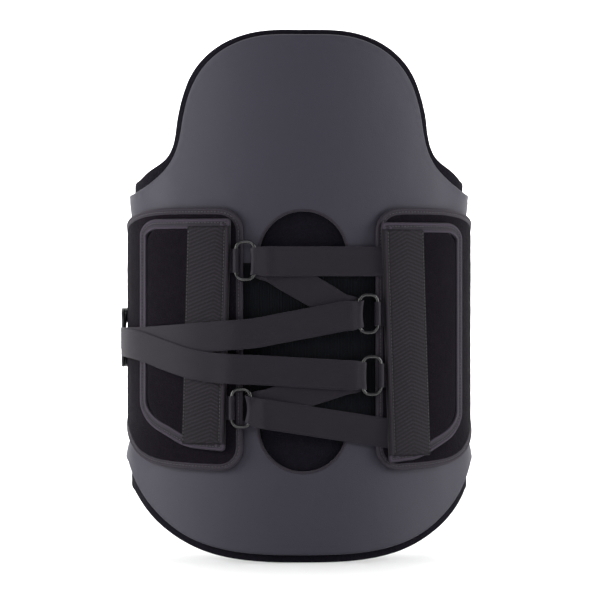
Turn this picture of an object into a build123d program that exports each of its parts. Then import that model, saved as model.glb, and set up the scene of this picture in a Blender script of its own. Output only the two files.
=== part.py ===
from build123d import *
import math
import os

# Posterior back brace: a rigid padded back panel, two lacing wings that close around
# the sides, and two front belt halves. Millimetres, +Z up. The origin is on the torso
# axis, level with the panel's lowest edge. The wearer's back faces -Y.

# ---------------------------------------------------------------- driving dimensions
SKIN_HALF_WIDTH = 136.0  # torso half-width the brace is shaped to
SIDE_RADIUS = 72.0  # horizontal radius of each flank
FRONT_DEPTH = 90.0  # torso axis to belly
WAIST_DEPTH = 88.0  # torso axis to the small of the back
WAIST_LEVEL = 200.0
LOWER_FLARE = 10.0  # how far the back stands out again at the bottom edge
UPPER_FLARE = 12.0  # and at the top edge
PANEL_HEIGHT = 452.0
HIP_FLARE = 5.5  # how far each flank stands out below the wings' lower edge
HIP_LEVELS = (115.0, 85.0)
RIB_FLARE = 2.5  # and above their upper edge
RIB_LEVELS = (285.0, 312.0)
LEVELS = [-6.0, 30.0, 60.0, 85.0, 100.0, 115.0, 130.0, 160.0, 200.0, 240.0, 270.0, 285.0, 298.0, 312.0, 330.0]
LEVELS += [360.0, 395.0, 430.0, 460.0]

# Layers, as distances out from the torso.
LINER = (0.0, 5.0)
PLATE = (5.1, 6.9)
PLATE_INSET = 4.0
COVER = (7.0, 10.0)
BRIDGE = (10.1, 11.2)
WING = (11.6, 14.8)
WING_BINDING = (11.5, 14.9)
HOOK_PAD = (15.0, 15.8)
FLAP = (15.9, 18.4)
FLAP_BINDING = (15.9, 18.8)
BAND = (18.9, 21.5)
STAY = (19.7, 20.7)
STAY_POCKET = (19.6, 20.8)
TAB_TAIL = (14.95, 15.8)
INNER_BELT = (6.8, 9.8)
LOOP_PATCH = (9.9, 10.5)
HOOK_PATCH = (10.9, 11.5)

# Back panel.
PANEL_FRONT_EDGE = 6.0  # the panel's straight side edges lie this far ahead of the axis
WINDOW_LENGTH = 222.0
WINDOW_WIDTH = 75.0
WINDOW_LEVEL = 187.5
BRIDGE_HALF_WIDTH = 72.0
BRIDGE_TOP = 254.0
BRIDGE_BOTTOM = 120.0

# Wings and lacing flaps. The lacing sits a little off centre.
SIDES = {"left": -1, "right": 1}
WING_TOP = 301.0
WING_BOTTOM = 77.5
WING_EDGE = {"left": 51.0, "right": 62.0}
WING_CORNER = 20.0
WING_RIM = 5.0
SEAM_ANGLE = 50.0  # where each wing meets its front belt, forward of the flank
FLAP_TOP = {"left": 292.0, "right": 289.0}
FLAP_BOTTOM = {"left": 94.0, "right": 84.0}
FLAP_EDGE_TOP = {"left": 61.0, "right": 66.0}
FLAP_EDGE_BOTTOM = {"left": 66.0, "right": 72.5}
FLAP_OUTER = 138.0
FLAP_RIM = 7.0
BAND_START = 0.6
BAND_WIDTH = 35.5
BAND_END_GAP = 8.0
STAY_START = 9.0
STAY_WIDTH = 14.0
HOOK_PAD_INSET = 9.0
HOOK_PAD_START = 20.0  # how far the pad stays back from the lacing edge

# Lacing hardware.
RING_LONG = 35.0
RING_WIDE = 19.0
RING_CORNER = 5.5
WIRE = 3.0
RING_OFFSET = 18.3  # ring's mid plane above the torso surface
RINGS = {
    "left_upper": (-49.3, 256.0),
    "left_lower": (-52.8, 131.0),
    "right_upper": (55.5, 211.0),
    "right_lower": (58.4, 158.5),
}
SEWN_REACH = 18.4  # where the sewn strap ends come out from under the right flap
TAB_HEIGHT = 20.0
TAB_REACH = 19.0
TAB_LAP = 2.0  # how far the sewn tail runs in under the bar
WEBBING = 1.0
STRAP_WIDTH = 25.0
STRAP = 1.4  # strap thickness
LACE_GAP = 0.8  # between a run and the bight it carries on from
CROSSING_LIFT = 1.2  # how much further out a sewn run starts, to pass over the return run
STRAP_SEAT = 0.05  # between a ring's bar and the strap round it
BIGHT_STUB = 4.0
BIGHT_HEIGHT = 20.5
RUNNING_GAP = 0.3

# Strap tails: distance out from the torso along the back (by x) and round the flank (by angle).
TAIL_START = -42.0
TAIL_RISE = [(-42.0, 20.55), (-58.0, 23.0), (-97.0, 22.9), (-116.0, 20.4)]
TAIL_WRAP = [(38.0, 19.7), (22.0, 18.2), (9.0, 17.6)]

# Pull handle.
HANDLE_LEVEL = 190.0
HANDLE_TALL = 52.0
HANDLE_BACK = -12.0
HANDLE_FRONT = 62.0
HANDLE = (16.9, 19.7)
HANDLE_PAD = (16.0, 16.8)
FINGER_LONG = 40.0
FINGER_TALL = 27.0
FINGER_CENTRE = 32.0
HANDLE_CORNER = 14.0

# Front belts.
LAP_END = -65.0  # the outer half's rounded tip
INNER_END = -2.0  # the inner half's tip
SEAM_TAPE = 8.0
FRONT_TIP_LOW = 134.0
FRONT_TIP_HIGH = 264.0
FRONT_CORNER = 24.0
FRONT_LEVEL = 199.0
PATCH_WIDE = 44.0
PATCH_TALL = 96.0
PATCH_CORNER = 8.0
CUT = 400.0  # larger than the brace, for cutting prisms

SIDE_CENTRE = SKIN_HALF_WIDTH - SIDE_RADIUS


# ---------------------------------------------------------------- torso surface
def back_depth(z):
    """Distance from the torso axis to the skin at the spine."""
    if z < WAIST_LEVEL:
        return WAIST_DEPTH + LOWER_FLARE * ((WAIST_LEVEL - z) / WAIST_LEVEL) ** 2
    return WAIST_DEPTH + UPPER_FLARE * ((z - WAIST_LEVEL) / (PANEL_HEIGHT - WAIST_LEVEL)) ** 2


def eased(share):
    share = min(1.0, max(0.0, share))
    return share * share * (3 - 2 * share)


def side_centre(z):
    """Distance from the torso axis to the centre of each flank's arc."""
    hip = HIP_FLARE * eased((HIP_LEVELS[0] - z) / (HIP_LEVELS[0] - HIP_LEVELS[1]))
    ribs = RIB_FLARE * eased((z - RIB_LEVELS[0]) / (RIB_LEVELS[1] - RIB_LEVELS[0]))
    return SIDE_CENTRE + hip + ribs


def blend_arc(depth, across):
    """Radius and centre distance of the arc that joins two flanks, centred across apart, at a depth."""
    radius = (across**2 + depth**2 - SIDE_RADIUS**2) / (2 * (depth - SIDE_RADIUS))
    return radius, radius - depth


def oval(grown, z):
    """Torso section grown by an offset: two flank arcs, a back arc and a belly arc."""
    depth = back_depth(z)
    across = side_centre(z)
    corners = []
    for way, reach in ((-1, depth), (1, FRONT_DEPTH)):
        radius, centre = blend_arc(reach, across)
        share = (radius + grown) / (radius - SIDE_RADIUS)
        corners.append((share * across, way * (share - 1) * centre))
    (back_x, back_y), (front_x, front_y) = corners
    wide = across + SIDE_RADIUS + grown
    with BuildSketch() as section:
        with BuildLine():
            ThreePointArc((-back_x, back_y), (0, -depth - grown), (back_x, back_y))
            ThreePointArc((back_x, back_y), (wide, 0), (front_x, front_y))
            ThreePointArc((front_x, front_y), (0, FRONT_DEPTH + grown), (-front_x, front_y))
            ThreePointArc((-front_x, front_y), (-wide, 0), (-back_x, back_y))
        make_face()
    return section.sketch


def back_y(x, grown, z):
    """Y of the back surface at a given x."""
    across = side_centre(z)
    radius, centre = blend_arc(back_depth(z), across)
    limit = (radius + grown) / (radius - SIDE_RADIUS) * across
    if abs(x) < limit:
        return centre - math.sqrt((radius + grown) ** 2 - x**2)
    return -math.sqrt((SIDE_RADIUS + grown) ** 2 - (abs(x) - across) ** 2)


def back_normal(x, grown, z):
    """Outward direction of the back surface at a given x."""
    radius, centre = blend_arc(back_depth(z), side_centre(z))
    return Vector(x, back_y(x, grown, z) - centre, 0).normalized()


def flank(angle, grown, side):
    """Point on a flank; the angle is measured from straight sideways towards the back."""
    turn = math.radians(angle)
    reach = SIDE_RADIUS + grown
    return side * (SIDE_CENTRE + reach * math.cos(turn)), -reach * math.sin(turn)


made_layers = {}


def layer(span):
    """Closed sleeve around the torso between two offsets."""
    if span not in made_layers:
        with BuildPart() as sleeve:
            for grown, mode in ((span[1], Mode.ADD), (span[0], Mode.SUBTRACT)):
                sections = []
                for level in LEVELS:
                    with BuildSketch(Plane.XY.offset(level)) as section:
                        add(oval(grown, level))
                    sections.append(section.sketch)
                loft(sections, mode=mode)
        made_layers[span] = sleeve.part
    return made_layers[span]


# ---------------------------------------------------------------- outlines
COVER_TOP = [
    (0, 447.5),
    (38, 446.2),
    (68, 435.5),
    (87, 418),
    (97, 398),
    (102.5, 375),
    (107, 353),
    (113.5, 339.5),
    (127, 325.5),
    (149, 313.5),
    (170, 311.5),
]
COVER_BOTTOM = [
    (0, 6.5),
    (50, 8.2),
    (84, 15),
    (103, 23.5),
    (120, 36.5),
    (134.5, 53),
    (144, 70),
    (151, 91),
]
LINER_TOP = [
    (0, 452),
    (40, 450.5),
    (71, 439.5),
    (91.5, 420.5),
    (101.5, 399),
    (106.8, 376),
    (110.5, 355),
    (116.5, 344),
    (130.5, 334),
    (141, 324.5),
    (150, 318),
    (170, 316),
]
LINER_BOTTOM = [
    (0, 0),
    (45, 1.2),
    (88, 10),
    (108, 20),
    (124.5, 33),
    (138, 49.5),
    (146, 65),
    (150, 82),
    (156, 96),
]
BELT_TOP = [(-140, 301), (-100, 301), (-62, 301), (-32, 296), (0, 288.5), (50, 276), (140, 262)]
BELT_BOTTOM = [(-140, 77.5), (-92, 77.5), (-62, 82.5), (-36, 96), (0, 113), (50, 125), (140, 130)]


def mirrored(points):
    """Right-half points, which begin on the centre line, carried on to the left."""
    return [(-x, z) for x, z in reversed(points[1:])] + points


def panel_outline(top, bottom):
    """Domed, shouldered back panel seen from behind."""
    upper = mirrored(top)
    lower = mirrored(bottom)
    with BuildSketch() as outline:
        with BuildLine():
            Spline(*upper)
            Polyline(upper[-1], (top[-1][0], bottom[-1][1]), lower[-1])
            Spline(*lower)
            Polyline(upper[0], (-top[-1][0], bottom[-1][1]), lower[0])
        make_face()
    return outline.sketch


def belt_profile(inset):
    """Belt seen from the side: level at the back, narrower towards the front."""
    top = [(y, z - inset) for y, z in BELT_TOP]
    bottom = [(y, z + inset) for y, z in BELT_BOTTOM]
    with BuildSketch() as outline:
        with BuildLine():
            Spline(*top)
            Line(top[-1], bottom[-1])
            Spline(*bottom)
            Line(bottom[0], top[0])
        make_face()
    return outline.sketch


def rounded_end(side, edge, low, high, corner):
    """Strip that runs off sideways from a rounded end at x = side * edge."""
    far = side * CUT
    near = side * edge
    with BuildSketch() as outline:
        with BuildLine():
            FilletPolyline((far, high), (near, high), (near, low), (far, low), radius=corner)
            Line((far, low), (far, high))
        make_face()
    return outline.sketch


def flap_outline(name, inset):
    """Lacing flap: slanted lacing edge and a lifted lower outer corner."""
    side = SIDES[name]
    top = FLAP_TOP[name] - inset
    low = FLAP_BOTTOM[name] + inset
    outer = FLAP_OUTER - inset
    with BuildSketch() as outline:
        with BuildLine():
            FilletPolyline(
                (side * lacing_edge(name, top), top),
                (side * lacing_edge(name, low), low),
                (side * 100, low + 3),
                (side * outer, low + 26),
                (side * outer, top),
                radius=[1, 1, 45, 30, 14],
                close=True,
            )
        make_face()
    return outline.sketch


def lacing_edge(name, z):
    """Distance of a flap's lacing edge from the centre line at a height."""
    share = (FLAP_TOP[name] - z) / (FLAP_TOP[name] - FLAP_BOTTOM[name])
    return FLAP_EDGE_TOP[name] + share * (FLAP_EDGE_BOTTOM[name] - FLAP_EDGE_TOP[name])


def edge_strip(name, start, width, low, high):
    """Strip that follows a flap's lacing edge, from start to start + width inside it."""
    side = SIDES[name]
    corners = []
    for z, reach in ((low, start), (low, start + width), (high, start + width), (high, start)):
        corners.append((side * (lacing_edge(name, z) + reach), z))
    with BuildSketch() as outline:
        with BuildLine():
            Polyline(*corners, close=True)
        make_face()
    return outline.sketch


def wing_sector(side):
    """Plan of the stretch from the lacing edge round to the front seam."""
    turn = math.radians(SEAM_ANGLE)
    with BuildSketch() as plan:
        with BuildLine():
            Polyline(
                (side * SIDE_CENTRE, 0),
                (side * (SIDE_CENTRE + CUT * math.cos(turn)), CUT * math.sin(turn)),
                (side * 2 * CUT, 0),
                (side * CUT, -CUT),
                (0, -CUT),
                (0, 0),
                close=True,
            )
        make_face()
    return plan.sketch


def front_sector(side, after, until, tip):
    """Plan of a front belt between two distances past the wing's seam, or up to a tip."""
    turn = math.radians(SEAM_ANGLE)
    along = Vector(side * math.cos(turn), math.sin(turn))
    across = Vector(-side * math.sin(turn), math.cos(turn))
    start = Vector(side * SIDE_CENTRE, 0) + across * after
    far = start + along * CUT
    if until:
        end = Vector(side * SIDE_CENTRE, 0) + across * until
        corners = [start, far, end + along * CUT, end]
    else:
        corners = [start, far, (tip, CUT), (tip, start.Y)]
    with BuildSketch() as plan:
        with BuildLine():
            Polyline(*corners, close=True)
        make_face()
    return plan.sketch


# ---------------------------------------------------------------- back panel
pieces = {}
for node, span, inset, top, bottom in (
    ("back_liner", LINER, 0, LINER_TOP, LINER_BOTTOM),
    ("back_plate", PLATE, PLATE_INSET, COVER_TOP, COVER_BOTTOM),
    ("shell_cover", COVER, 0, COVER_TOP, COVER_BOTTOM),
):
    with BuildPart() as panel:
        add(layer(span))
        with BuildSketch(Plane.XZ):
            add(panel_outline([(x, z - inset) for x, z in top], [(x, z + inset) for x, z in bottom]))
        extrude(amount=CUT, both=True, mode=Mode.INTERSECT)
        with BuildSketch(Plane.XZ.offset(inset - PANEL_FRONT_EDGE)):
            Rectangle(4 * CUT, 4 * CUT)
        extrude(amount=-CUT, mode=Mode.SUBTRACT)
        if node != "back_liner":
            with BuildSketch(Plane.XZ):
                with Locations((0, WINDOW_LEVEL)):
                    SlotOverall(WINDOW_LENGTH, WINDOW_WIDTH, rotation=90)
            extrude(amount=CUT, mode=Mode.SUBTRACT)
    pieces[node] = panel

with BuildPart() as elastic_bridge:
    add(layer(BRIDGE))
    with BuildSketch(Plane.XZ):
        with Locations((0, (BRIDGE_TOP + BRIDGE_BOTTOM) / 2)):
            Rectangle(2 * BRIDGE_HALF_WIDTH, BRIDGE_TOP - BRIDGE_BOTTOM)
    extrude(amount=CUT, mode=Mode.INTERSECT)
pieces["elastic_bridge"] = elastic_bridge

# ---------------------------------------------------------------- wings
for name, side in SIDES.items():
    with BuildPart() as wing_core:
        with BuildSketch(Plane.XZ):
            add(
                rounded_end(
                    side,
                    WING_EDGE[name] + WING_RIM,
                    WING_BOTTOM + WING_RIM,
                    WING_TOP - WING_RIM,
                    WING_CORNER - WING_RIM,
                )
            )
        extrude(amount=CUT, both=True)
        with BuildSketch(Plane.YZ):
            add(belt_profile(WING_RIM))
        extrude(amount=2 * CUT, both=True, mode=Mode.INTERSECT)

    with BuildPart() as wing:
        add(layer(WING))
        with BuildSketch():
            add(wing_sector(side))
        extrude(amount=2 * CUT, mode=Mode.INTERSECT)
        add(wing_core, mode=Mode.INTERSECT)
    pieces[f"{name}_wing"] = wing

    with BuildPart() as binding:
        add(layer(WING_BINDING))
        with BuildSketch():
            add(wing_sector(side))
        extrude(amount=2 * CUT, mode=Mode.INTERSECT)
        with BuildSketch(Plane.XZ):
            add(rounded_end(side, WING_EDGE[name], WING_BOTTOM, WING_TOP, WING_CORNER))
        extrude(amount=CUT, both=True, mode=Mode.INTERSECT)
        with BuildSketch(Plane.YZ):
            add(belt_profile(0))
        extrude(amount=2 * CUT, both=True, mode=Mode.INTERSECT)
        add(wing_core, mode=Mode.SUBTRACT)
    pieces[f"{name}_wing_binding"] = binding

# ---------------------------------------------------------------- lacing flaps
for name, side in SIDES.items():
    low = FLAP_BOTTOM[name]
    high = FLAP_TOP[name]

    with BuildPart() as flap:
        add(layer(FLAP))
        with BuildSketch(Plane.XZ):
            add(flap_outline(name, FLAP_RIM))
        extrude(amount=CUT, mode=Mode.INTERSECT)
    pieces[f"{name}_lacing_flap"] = flap

    with BuildPart() as flap_binding:
        add(layer(FLAP_BINDING))
        with BuildSketch(Plane.XZ):
            add(flap_outline(name, 0))
            add(flap_outline(name, FLAP_RIM), mode=Mode.SUBTRACT)
        extrude(amount=CUT, mode=Mode.INTERSECT)
    pieces[f"{name}_flap_binding"] = flap_binding

    with BuildPart() as band:
        add(layer(BAND))
        with BuildSketch(Plane.XZ):
            add(edge_strip(name, BAND_START, BAND_WIDTH, low + BAND_END_GAP, high - BAND_END_GAP))
        extrude(amount=CUT, mode=Mode.INTERSECT)
        with BuildPart(mode=Mode.PRIVATE) as pocket:
            add(layer(STAY_POCKET))
            with BuildSketch(Plane.XZ):
                add(edge_strip(name, STAY_START - 0.2, STAY_WIDTH + 0.4, low + 15.8, high - 15.8))
            extrude(amount=CUT, mode=Mode.INTERSECT)
        add(pocket, mode=Mode.SUBTRACT)
    pieces[f"{name}_webbing_band"] = band

    with BuildPart() as edge_stay:
        add(layer(STAY))
        with BuildSketch(Plane.XZ):
            add(edge_strip(name, STAY_START, STAY_WIDTH, low + 16, high - 16))
        extrude(amount=CUT, mode=Mode.INTERSECT)
    pieces[f"{name}_edge_stay"] = edge_stay

    with BuildPart() as hook_pad:
        add(layer(HOOK_PAD))
        with BuildSketch(Plane.XZ):
            add(flap_outline(name, HOOK_PAD_INSET))
            with Locations((side * FLAP_EDGE_TOP[name], WINDOW_LEVEL)):
                Rectangle(2 * HOOK_PAD_START, CUT, mode=Mode.SUBTRACT)
        extrude(amount=CUT, mode=Mode.INTERSECT)
    pieces[f"{name}_hook_pad"] = hook_pad

# ---------------------------------------------------------------- rings, tabs and strap bights
bar_reach = RING_WIDE / 2 - WIRE / 2
for ring_name, (ring_x, ring_z) in RINGS.items():
    side = int(math.copysign(1, ring_x))
    outward = back_normal(ring_x, RING_OFFSET, ring_z)
    centre = Vector(ring_x, back_y(ring_x, RING_OFFSET, ring_z), ring_z)
    to_flap = Vector(-outward.Y, outward.X, 0) * side
    ring_plane = Plane(origin=centre, x_dir=to_flap, z_dir=outward)
    # Looking along the bars: local x runs towards the flap, local y outwards.
    section_plane = Plane(origin=centre, x_dir=to_flap, z_dir=to_flap.cross(outward))

    with BuildPart() as ring:
        with BuildLine(ring_plane) as loop:
            tall = RING_LONG / 2 - WIRE / 2
            FilletPolyline(
                (bar_reach, -tall),
                (bar_reach, tall),
                (-bar_reach, tall),
                (-bar_reach, -tall),
                radius=RING_CORNER,
                close=True,
            )
        with BuildSketch(Plane(origin=loop.line @ 0, z_dir=loop.line % 0)):
            Circle(WIRE / 2)
        sweep()
    pieces[f"{ring_name}_ring"] = ring

    with BuildPart() as tab:
        with BuildSketch(section_plane):
            with Locations((bar_reach, 0)):
                Circle(WIRE / 2 + RUNNING_GAP + WEBBING)
                Circle(WIRE / 2 + RUNNING_GAP, mode=Mode.SUBTRACT)
        extrude(amount=TAB_HEIGHT / 2, both=True)
        with BuildPart(mode=Mode.PRIVATE) as tail:
            add(layer(TAB_TAIL))
            with BuildSketch(Plane.XZ):
                with Locations((ring_x + side * (bar_reach - TAB_LAP + TAB_REACH / 2), ring_z)):
                    Rectangle(TAB_REACH, TAB_HEIGHT)
            extrude(amount=CUT, mode=Mode.INTERSECT)
        add(tail)
    pieces[f"{ring_name}_ring_tab"] = tab

    with BuildPart() as bight:
        with BuildSketch(section_plane):
            with Locations((-bar_reach, 0)):
                Circle(WIRE / 2 + STRAP_SEAT + STRAP)
                Circle(WIRE / 2 + STRAP_SEAT, mode=Mode.SUBTRACT)
                Rectangle(CUT, CUT, align=(Align.MAX, Align.CENTER), mode=Mode.SUBTRACT)
                for way in (-1, 1):
                    with Locations((-BIGHT_STUB / 2, way * (WIRE / 2 + STRAP_SEAT + STRAP / 2))):
                        Rectangle(BIGHT_STUB, STRAP)
        extrude(amount=BIGHT_HEIGHT / 2, both=True)
    pieces[f"{ring_name}_strap_bight"] = bight

# ---------------------------------------------------------------- lacing across the back
front_reach = RING_OFFSET + WIRE / 2 + STRAP_SEAT + STRAP / 2
back_reach = RING_OFFSET - WIRE / 2 - STRAP_SEAT - STRAP / 2


def ring_end(ring_name, reach, z):
    """Where a strap leaves a ring's bight, at a distance out from the torso."""
    ring_x, ring_z = RINGS[ring_name]
    end_x = ring_x - math.copysign(bar_reach + BIGHT_STUB + LACE_GAP, ring_x)
    return Vector(end_x, back_y(end_x, reach, ring_z), z)


def surface_point(x, reach, z):
    return Vector(x, back_y(x, reach, z), z)


RUNS = {
    "upper_lace_sewn_run": (
        ring_end("left_upper", front_reach + CROSSING_LIFT, 255.5),
        surface_point(FLAP_EDGE_TOP["right"] - 1.0, SEWN_REACH, 255.5),
    ),
    "upper_lace_return_run": (
        ring_end("left_upper", back_reach + 0.2, 253.0),
        ring_end("right_upper", back_reach + 0.2, 214.0),
    ),
    "upper_lace_pull_run": (
        ring_end("right_upper", front_reach, 208.5),
        surface_point(TAIL_START + RUNNING_GAP, front_reach, 194.5),
    ),
    "lower_lace_sewn_run": (
        ring_end("left_lower", front_reach + CROSSING_LIFT, 126.5),
        surface_point(FLAP_EDGE_BOTTOM["right"] - 2.8, SEWN_REACH, 109.5),
    ),
    "lower_lace_return_run": (
        ring_end("left_lower", back_reach + 0.8, 134.0),
        ring_end("right_lower", back_reach + 0.8, 155.5),
    ),
    "lower_lace_pull_run": (
        ring_end("right_lower", front_reach, 159.0),
        surface_point(TAIL_START + RUNNING_GAP, front_reach, 163.5),
    ),
}
for run_name, (start, end) in RUNS.items():
    along = (end - start).normalized()
    facing = Vector(along.Y, -along.X, 0).normalized()
    if facing.Y > 0:
        facing = facing * -1
    middle = (start + end) / 2
    with BuildPart() as run:
        with BuildSketch(Plane(origin=middle, x_dir=along, z_dir=facing)):
            Rectangle((end - start).length + STRAP_WIDTH, STRAP_WIDTH)
        extrude(amount=STRAP / 2, both=True)
        with BuildSketch(Plane.XZ):
            with Locations((middle.X, middle.Z)):
                Rectangle(abs(end.X - start.X), CUT)
        extrude(amount=CUT, mode=Mode.INTERSECT)
    pieces[run_name] = run

# ---------------------------------------------------------------- strap tails over the left wing
TAIL_LEVELS = {
    "upper": [(TAIL_START, 194.5), (-75, 191.8), (-105, 189.5), (-135, 187.0), (-165, 186.0)],
    "lower": [(TAIL_START, 163.5), (-75, 165.2), (-105, 171.0), (-135, 182.0), (-165, 188.0)],
}
for tail_name, lift in (("upper", 0.0), ("lower", STRAP + 0.3)):
    faces = []
    for half in (-STRAP / 2, STRAP / 2):
        reach = lift + half
        faces.append(
            [surface_point(x, out + reach, HANDLE_LEVEL) for x, out in TAIL_RISE]
            + [Vector(*flank(angle, out + reach, -1), 0) for angle, out in TAIL_WRAP]
        )
    inner = [(point.X, point.Y) for point in faces[0]]
    outer = [(point.X, point.Y) for point in faces[1]]
    with BuildPart() as tail:
        with BuildSketch():
            with BuildLine():
                Spline(*inner)
                Line(inner[-1], outer[-1])
                Spline(*outer)
                Line(inner[0], outer[0])
            make_face()
        extrude(amount=CUT)
        with BuildSketch(Plane.XZ):
            with BuildLine():
                Spline(*[(x, z + STRAP_WIDTH / 2) for x, z in TAIL_LEVELS[tail_name]])
                Spline(*[(x, z - STRAP_WIDTH / 2) for x, z in TAIL_LEVELS[tail_name]])
                for end_x, end_z in (TAIL_LEVELS[tail_name][0], TAIL_LEVELS[tail_name][-1]):
                    Line((end_x, end_z - STRAP_WIDTH / 2), (end_x, end_z + STRAP_WIDTH / 2))
            make_face()
        extrude(amount=CUT, mode=Mode.INTERSECT)
    pieces[f"{tail_name}_pull_tail"] = tail

# ---------------------------------------------------------------- pull handle
for node, span, inset in (("pull_handle", HANDLE, 0.0), ("handle_hook_pad", HANDLE_PAD, 4.0)):
    with BuildPart() as plate:
        add(layer(span))
        with BuildSketch(Plane.YZ):
            with Locations(((HANDLE_BACK + HANDLE_FRONT) / 2, HANDLE_LEVEL)):
                RectangleRounded(
                    HANDLE_FRONT - HANDLE_BACK - 2 * inset,
                    HANDLE_TALL - 2 * inset,
                    HANDLE_CORNER - inset,
                )
            with Locations((FINGER_CENTRE, HANDLE_LEVEL)):
                RectangleRounded(
                    FINGER_LONG + 2 * inset,
                    FINGER_TALL + 2 * inset,
                    FINGER_TALL / 2 - 0.5,
                    mode=Mode.SUBTRACT,
                )
        extrude(amount=-CUT, mode=Mode.INTERSECT)
    pieces[node] = plate

# ---------------------------------------------------------------- front belts
FRONTS = {"left": (INNER_BELT, SEAM_TAPE, INNER_END), "right": (WING, 0.0, LAP_END)}
for name, (span, after, tip) in FRONTS.items():
    side = SIDES[name]
    plan = front_sector(side, after + RUNNING_GAP, None, tip)
    cores = {}
    for inset in (0.0, WING_RIM):
        with BuildPart() as core:
            with BuildSketch(Plane.YZ):
                add(belt_profile(inset))
            extrude(amount=2 * CUT, both=True)
            with BuildSketch(Plane.XZ):
                add(
                    rounded_end(
                        side,
                        side * tip + inset,
                        FRONT_TIP_LOW + inset,
                        FRONT_TIP_HIGH - inset,
                        FRONT_CORNER - inset,
                    )
                )
            extrude(amount=-CUT, mode=Mode.INTERSECT)
        cores[inset] = core

    with BuildPart() as belt:
        add(layer(span))
        with BuildSketch():
            add(plan)
        extrude(amount=2 * CUT, mode=Mode.INTERSECT)
        add(cores[WING_RIM], mode=Mode.INTERSECT)
    pieces[f"{name}_front_belt"] = belt

    with BuildPart() as belt_binding:
        add(layer(span))
        with BuildSketch():
            add(plan)
        extrude(amount=2 * CUT, mode=Mode.INTERSECT)
        add(cores[0.0], mode=Mode.INTERSECT)
        add(cores[WING_RIM], mode=Mode.SUBTRACT)
    pieces[f"{name}_front_binding"] = belt_binding

with BuildPart() as seam_tape:
    add(layer((INNER_BELT[0], WING[1])))
    with BuildSketch():
        add(front_sector(-1, RUNNING_GAP, SEAM_TAPE + RUNNING_GAP, None))
    extrude(amount=2 * CUT, mode=Mode.INTERSECT)
    with BuildSketch(Plane.YZ):
        add(belt_profile(0))
    extrude(amount=2 * CUT, both=True, mode=Mode.INTERSECT)
pieces["left_seam_tape"] = seam_tape

for node, span in (("left_loop_patch", LOOP_PATCH), ("right_hook_patch", HOOK_PATCH)):
    with BuildPart() as patch:
        add(layer(span))
        with BuildSketch(Plane.XZ):
            with Locations(((LAP_END + INNER_END) / 2, FRONT_LEVEL)):
                RectangleRounded(PATCH_WIDE, PATCH_TALL, PATCH_CORNER)
        extrude(amount=-CUT, mode=Mode.INTERSECT)
    pieces[node] = patch

# ---------------------------------------------------------------- write the pieces
os.makedirs("parts", exist_ok=True)
for node, piece in pieces.items():
    piece.part.label = node
    export_step(piece.part, f"parts/{node}.step")
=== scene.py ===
import math

import bpy
import numpy as np
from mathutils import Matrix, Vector, geometry, noise


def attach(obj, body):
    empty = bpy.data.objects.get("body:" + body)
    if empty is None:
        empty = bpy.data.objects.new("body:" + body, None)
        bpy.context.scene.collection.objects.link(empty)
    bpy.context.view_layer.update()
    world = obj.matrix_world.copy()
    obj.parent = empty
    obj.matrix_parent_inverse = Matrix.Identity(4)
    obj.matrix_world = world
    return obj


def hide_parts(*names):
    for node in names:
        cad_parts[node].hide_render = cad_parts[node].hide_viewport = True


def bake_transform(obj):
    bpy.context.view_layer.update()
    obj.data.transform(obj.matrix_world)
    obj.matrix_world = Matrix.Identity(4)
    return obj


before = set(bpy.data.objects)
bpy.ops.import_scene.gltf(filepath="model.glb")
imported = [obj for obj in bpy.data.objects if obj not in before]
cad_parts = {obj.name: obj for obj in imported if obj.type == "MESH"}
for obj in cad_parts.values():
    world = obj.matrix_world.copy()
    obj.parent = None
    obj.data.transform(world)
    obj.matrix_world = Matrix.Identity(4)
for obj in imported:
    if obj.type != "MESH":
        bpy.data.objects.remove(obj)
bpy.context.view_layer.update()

# A back brace seen from behind: padded back panel, two lacing wings, straps, rings,
# a pull handle and two front belts. Lengths in the shape code are millimetres.
# Shapes are laid out on the torso's unrolled surface: q runs round the body from the
# spine (it equals x over the back), z is height, and g is the distance out from the skin.

# ---------------------------------------------------------------- torso surface
SIDE_CENTRE = 64.0
SIDE_RADIUS = 72.0
FRONT_DEPTH = 90.0
WAIST_DEPTH = 88.0
WAIST_LEVEL = 200.0
LOWER_FLARE = 10.0
UPPER_FLARE = 12.0
PANEL_HEIGHT = 452.0
HIP_FLARE = 5.5  # how far each flank stands out below the wings' lower edge
HIP_LEVELS = (115.0, 85.0)
RIB_FLARE = 2.5  # and above their upper edge
RIB_LEVELS = (285.0, 312.0)
FLAT_REACH = 118.0  # q equals x up to here
SEAM_TURN = math.radians(140)  # where each wing meets its front belt
MM = 0.001


def back_depth(z):
    z = np.asarray(z, float)
    low = WAIST_DEPTH + LOWER_FLARE * ((WAIST_LEVEL - z) / WAIST_LEVEL) ** 2
    high = WAIST_DEPTH + UPPER_FLARE * ((z - WAIST_LEVEL) / (PANEL_HEIGHT - WAIST_LEVEL)) ** 2
    return np.where(z < WAIST_LEVEL, low, high)


def eased(share):
    share = np.clip(share, 0, 1)
    return share * share * (3 - 2 * share)


def side_centre(z):
    """Distance from the torso axis to the centre of each flank's arc."""
    z = np.asarray(z, float)
    hip = HIP_FLARE * eased((HIP_LEVELS[0] - z) / (HIP_LEVELS[0] - HIP_LEVELS[1]))
    ribs = RIB_FLARE * eased((z - RIB_LEVELS[0]) / (RIB_LEVELS[1] - RIB_LEVELS[0]))
    return SIDE_CENTRE + hip + ribs


def blend_arc(depth, across=SIDE_CENTRE):
    """Radius and centre distance of the arc that joins two flanks at a depth."""
    radius = (across**2 + depth**2 - SIDE_RADIUS**2) / (2 * (depth - SIDE_RADIUS))
    return radius, radius - depth


FRONT_RADIUS, FRONT_CENTRE = blend_arc(FRONT_DEPTH)
FRONT_TURN = math.pi - math.asin(SIDE_CENTRE / (FRONT_RADIUS - SIDE_RADIUS))


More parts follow.
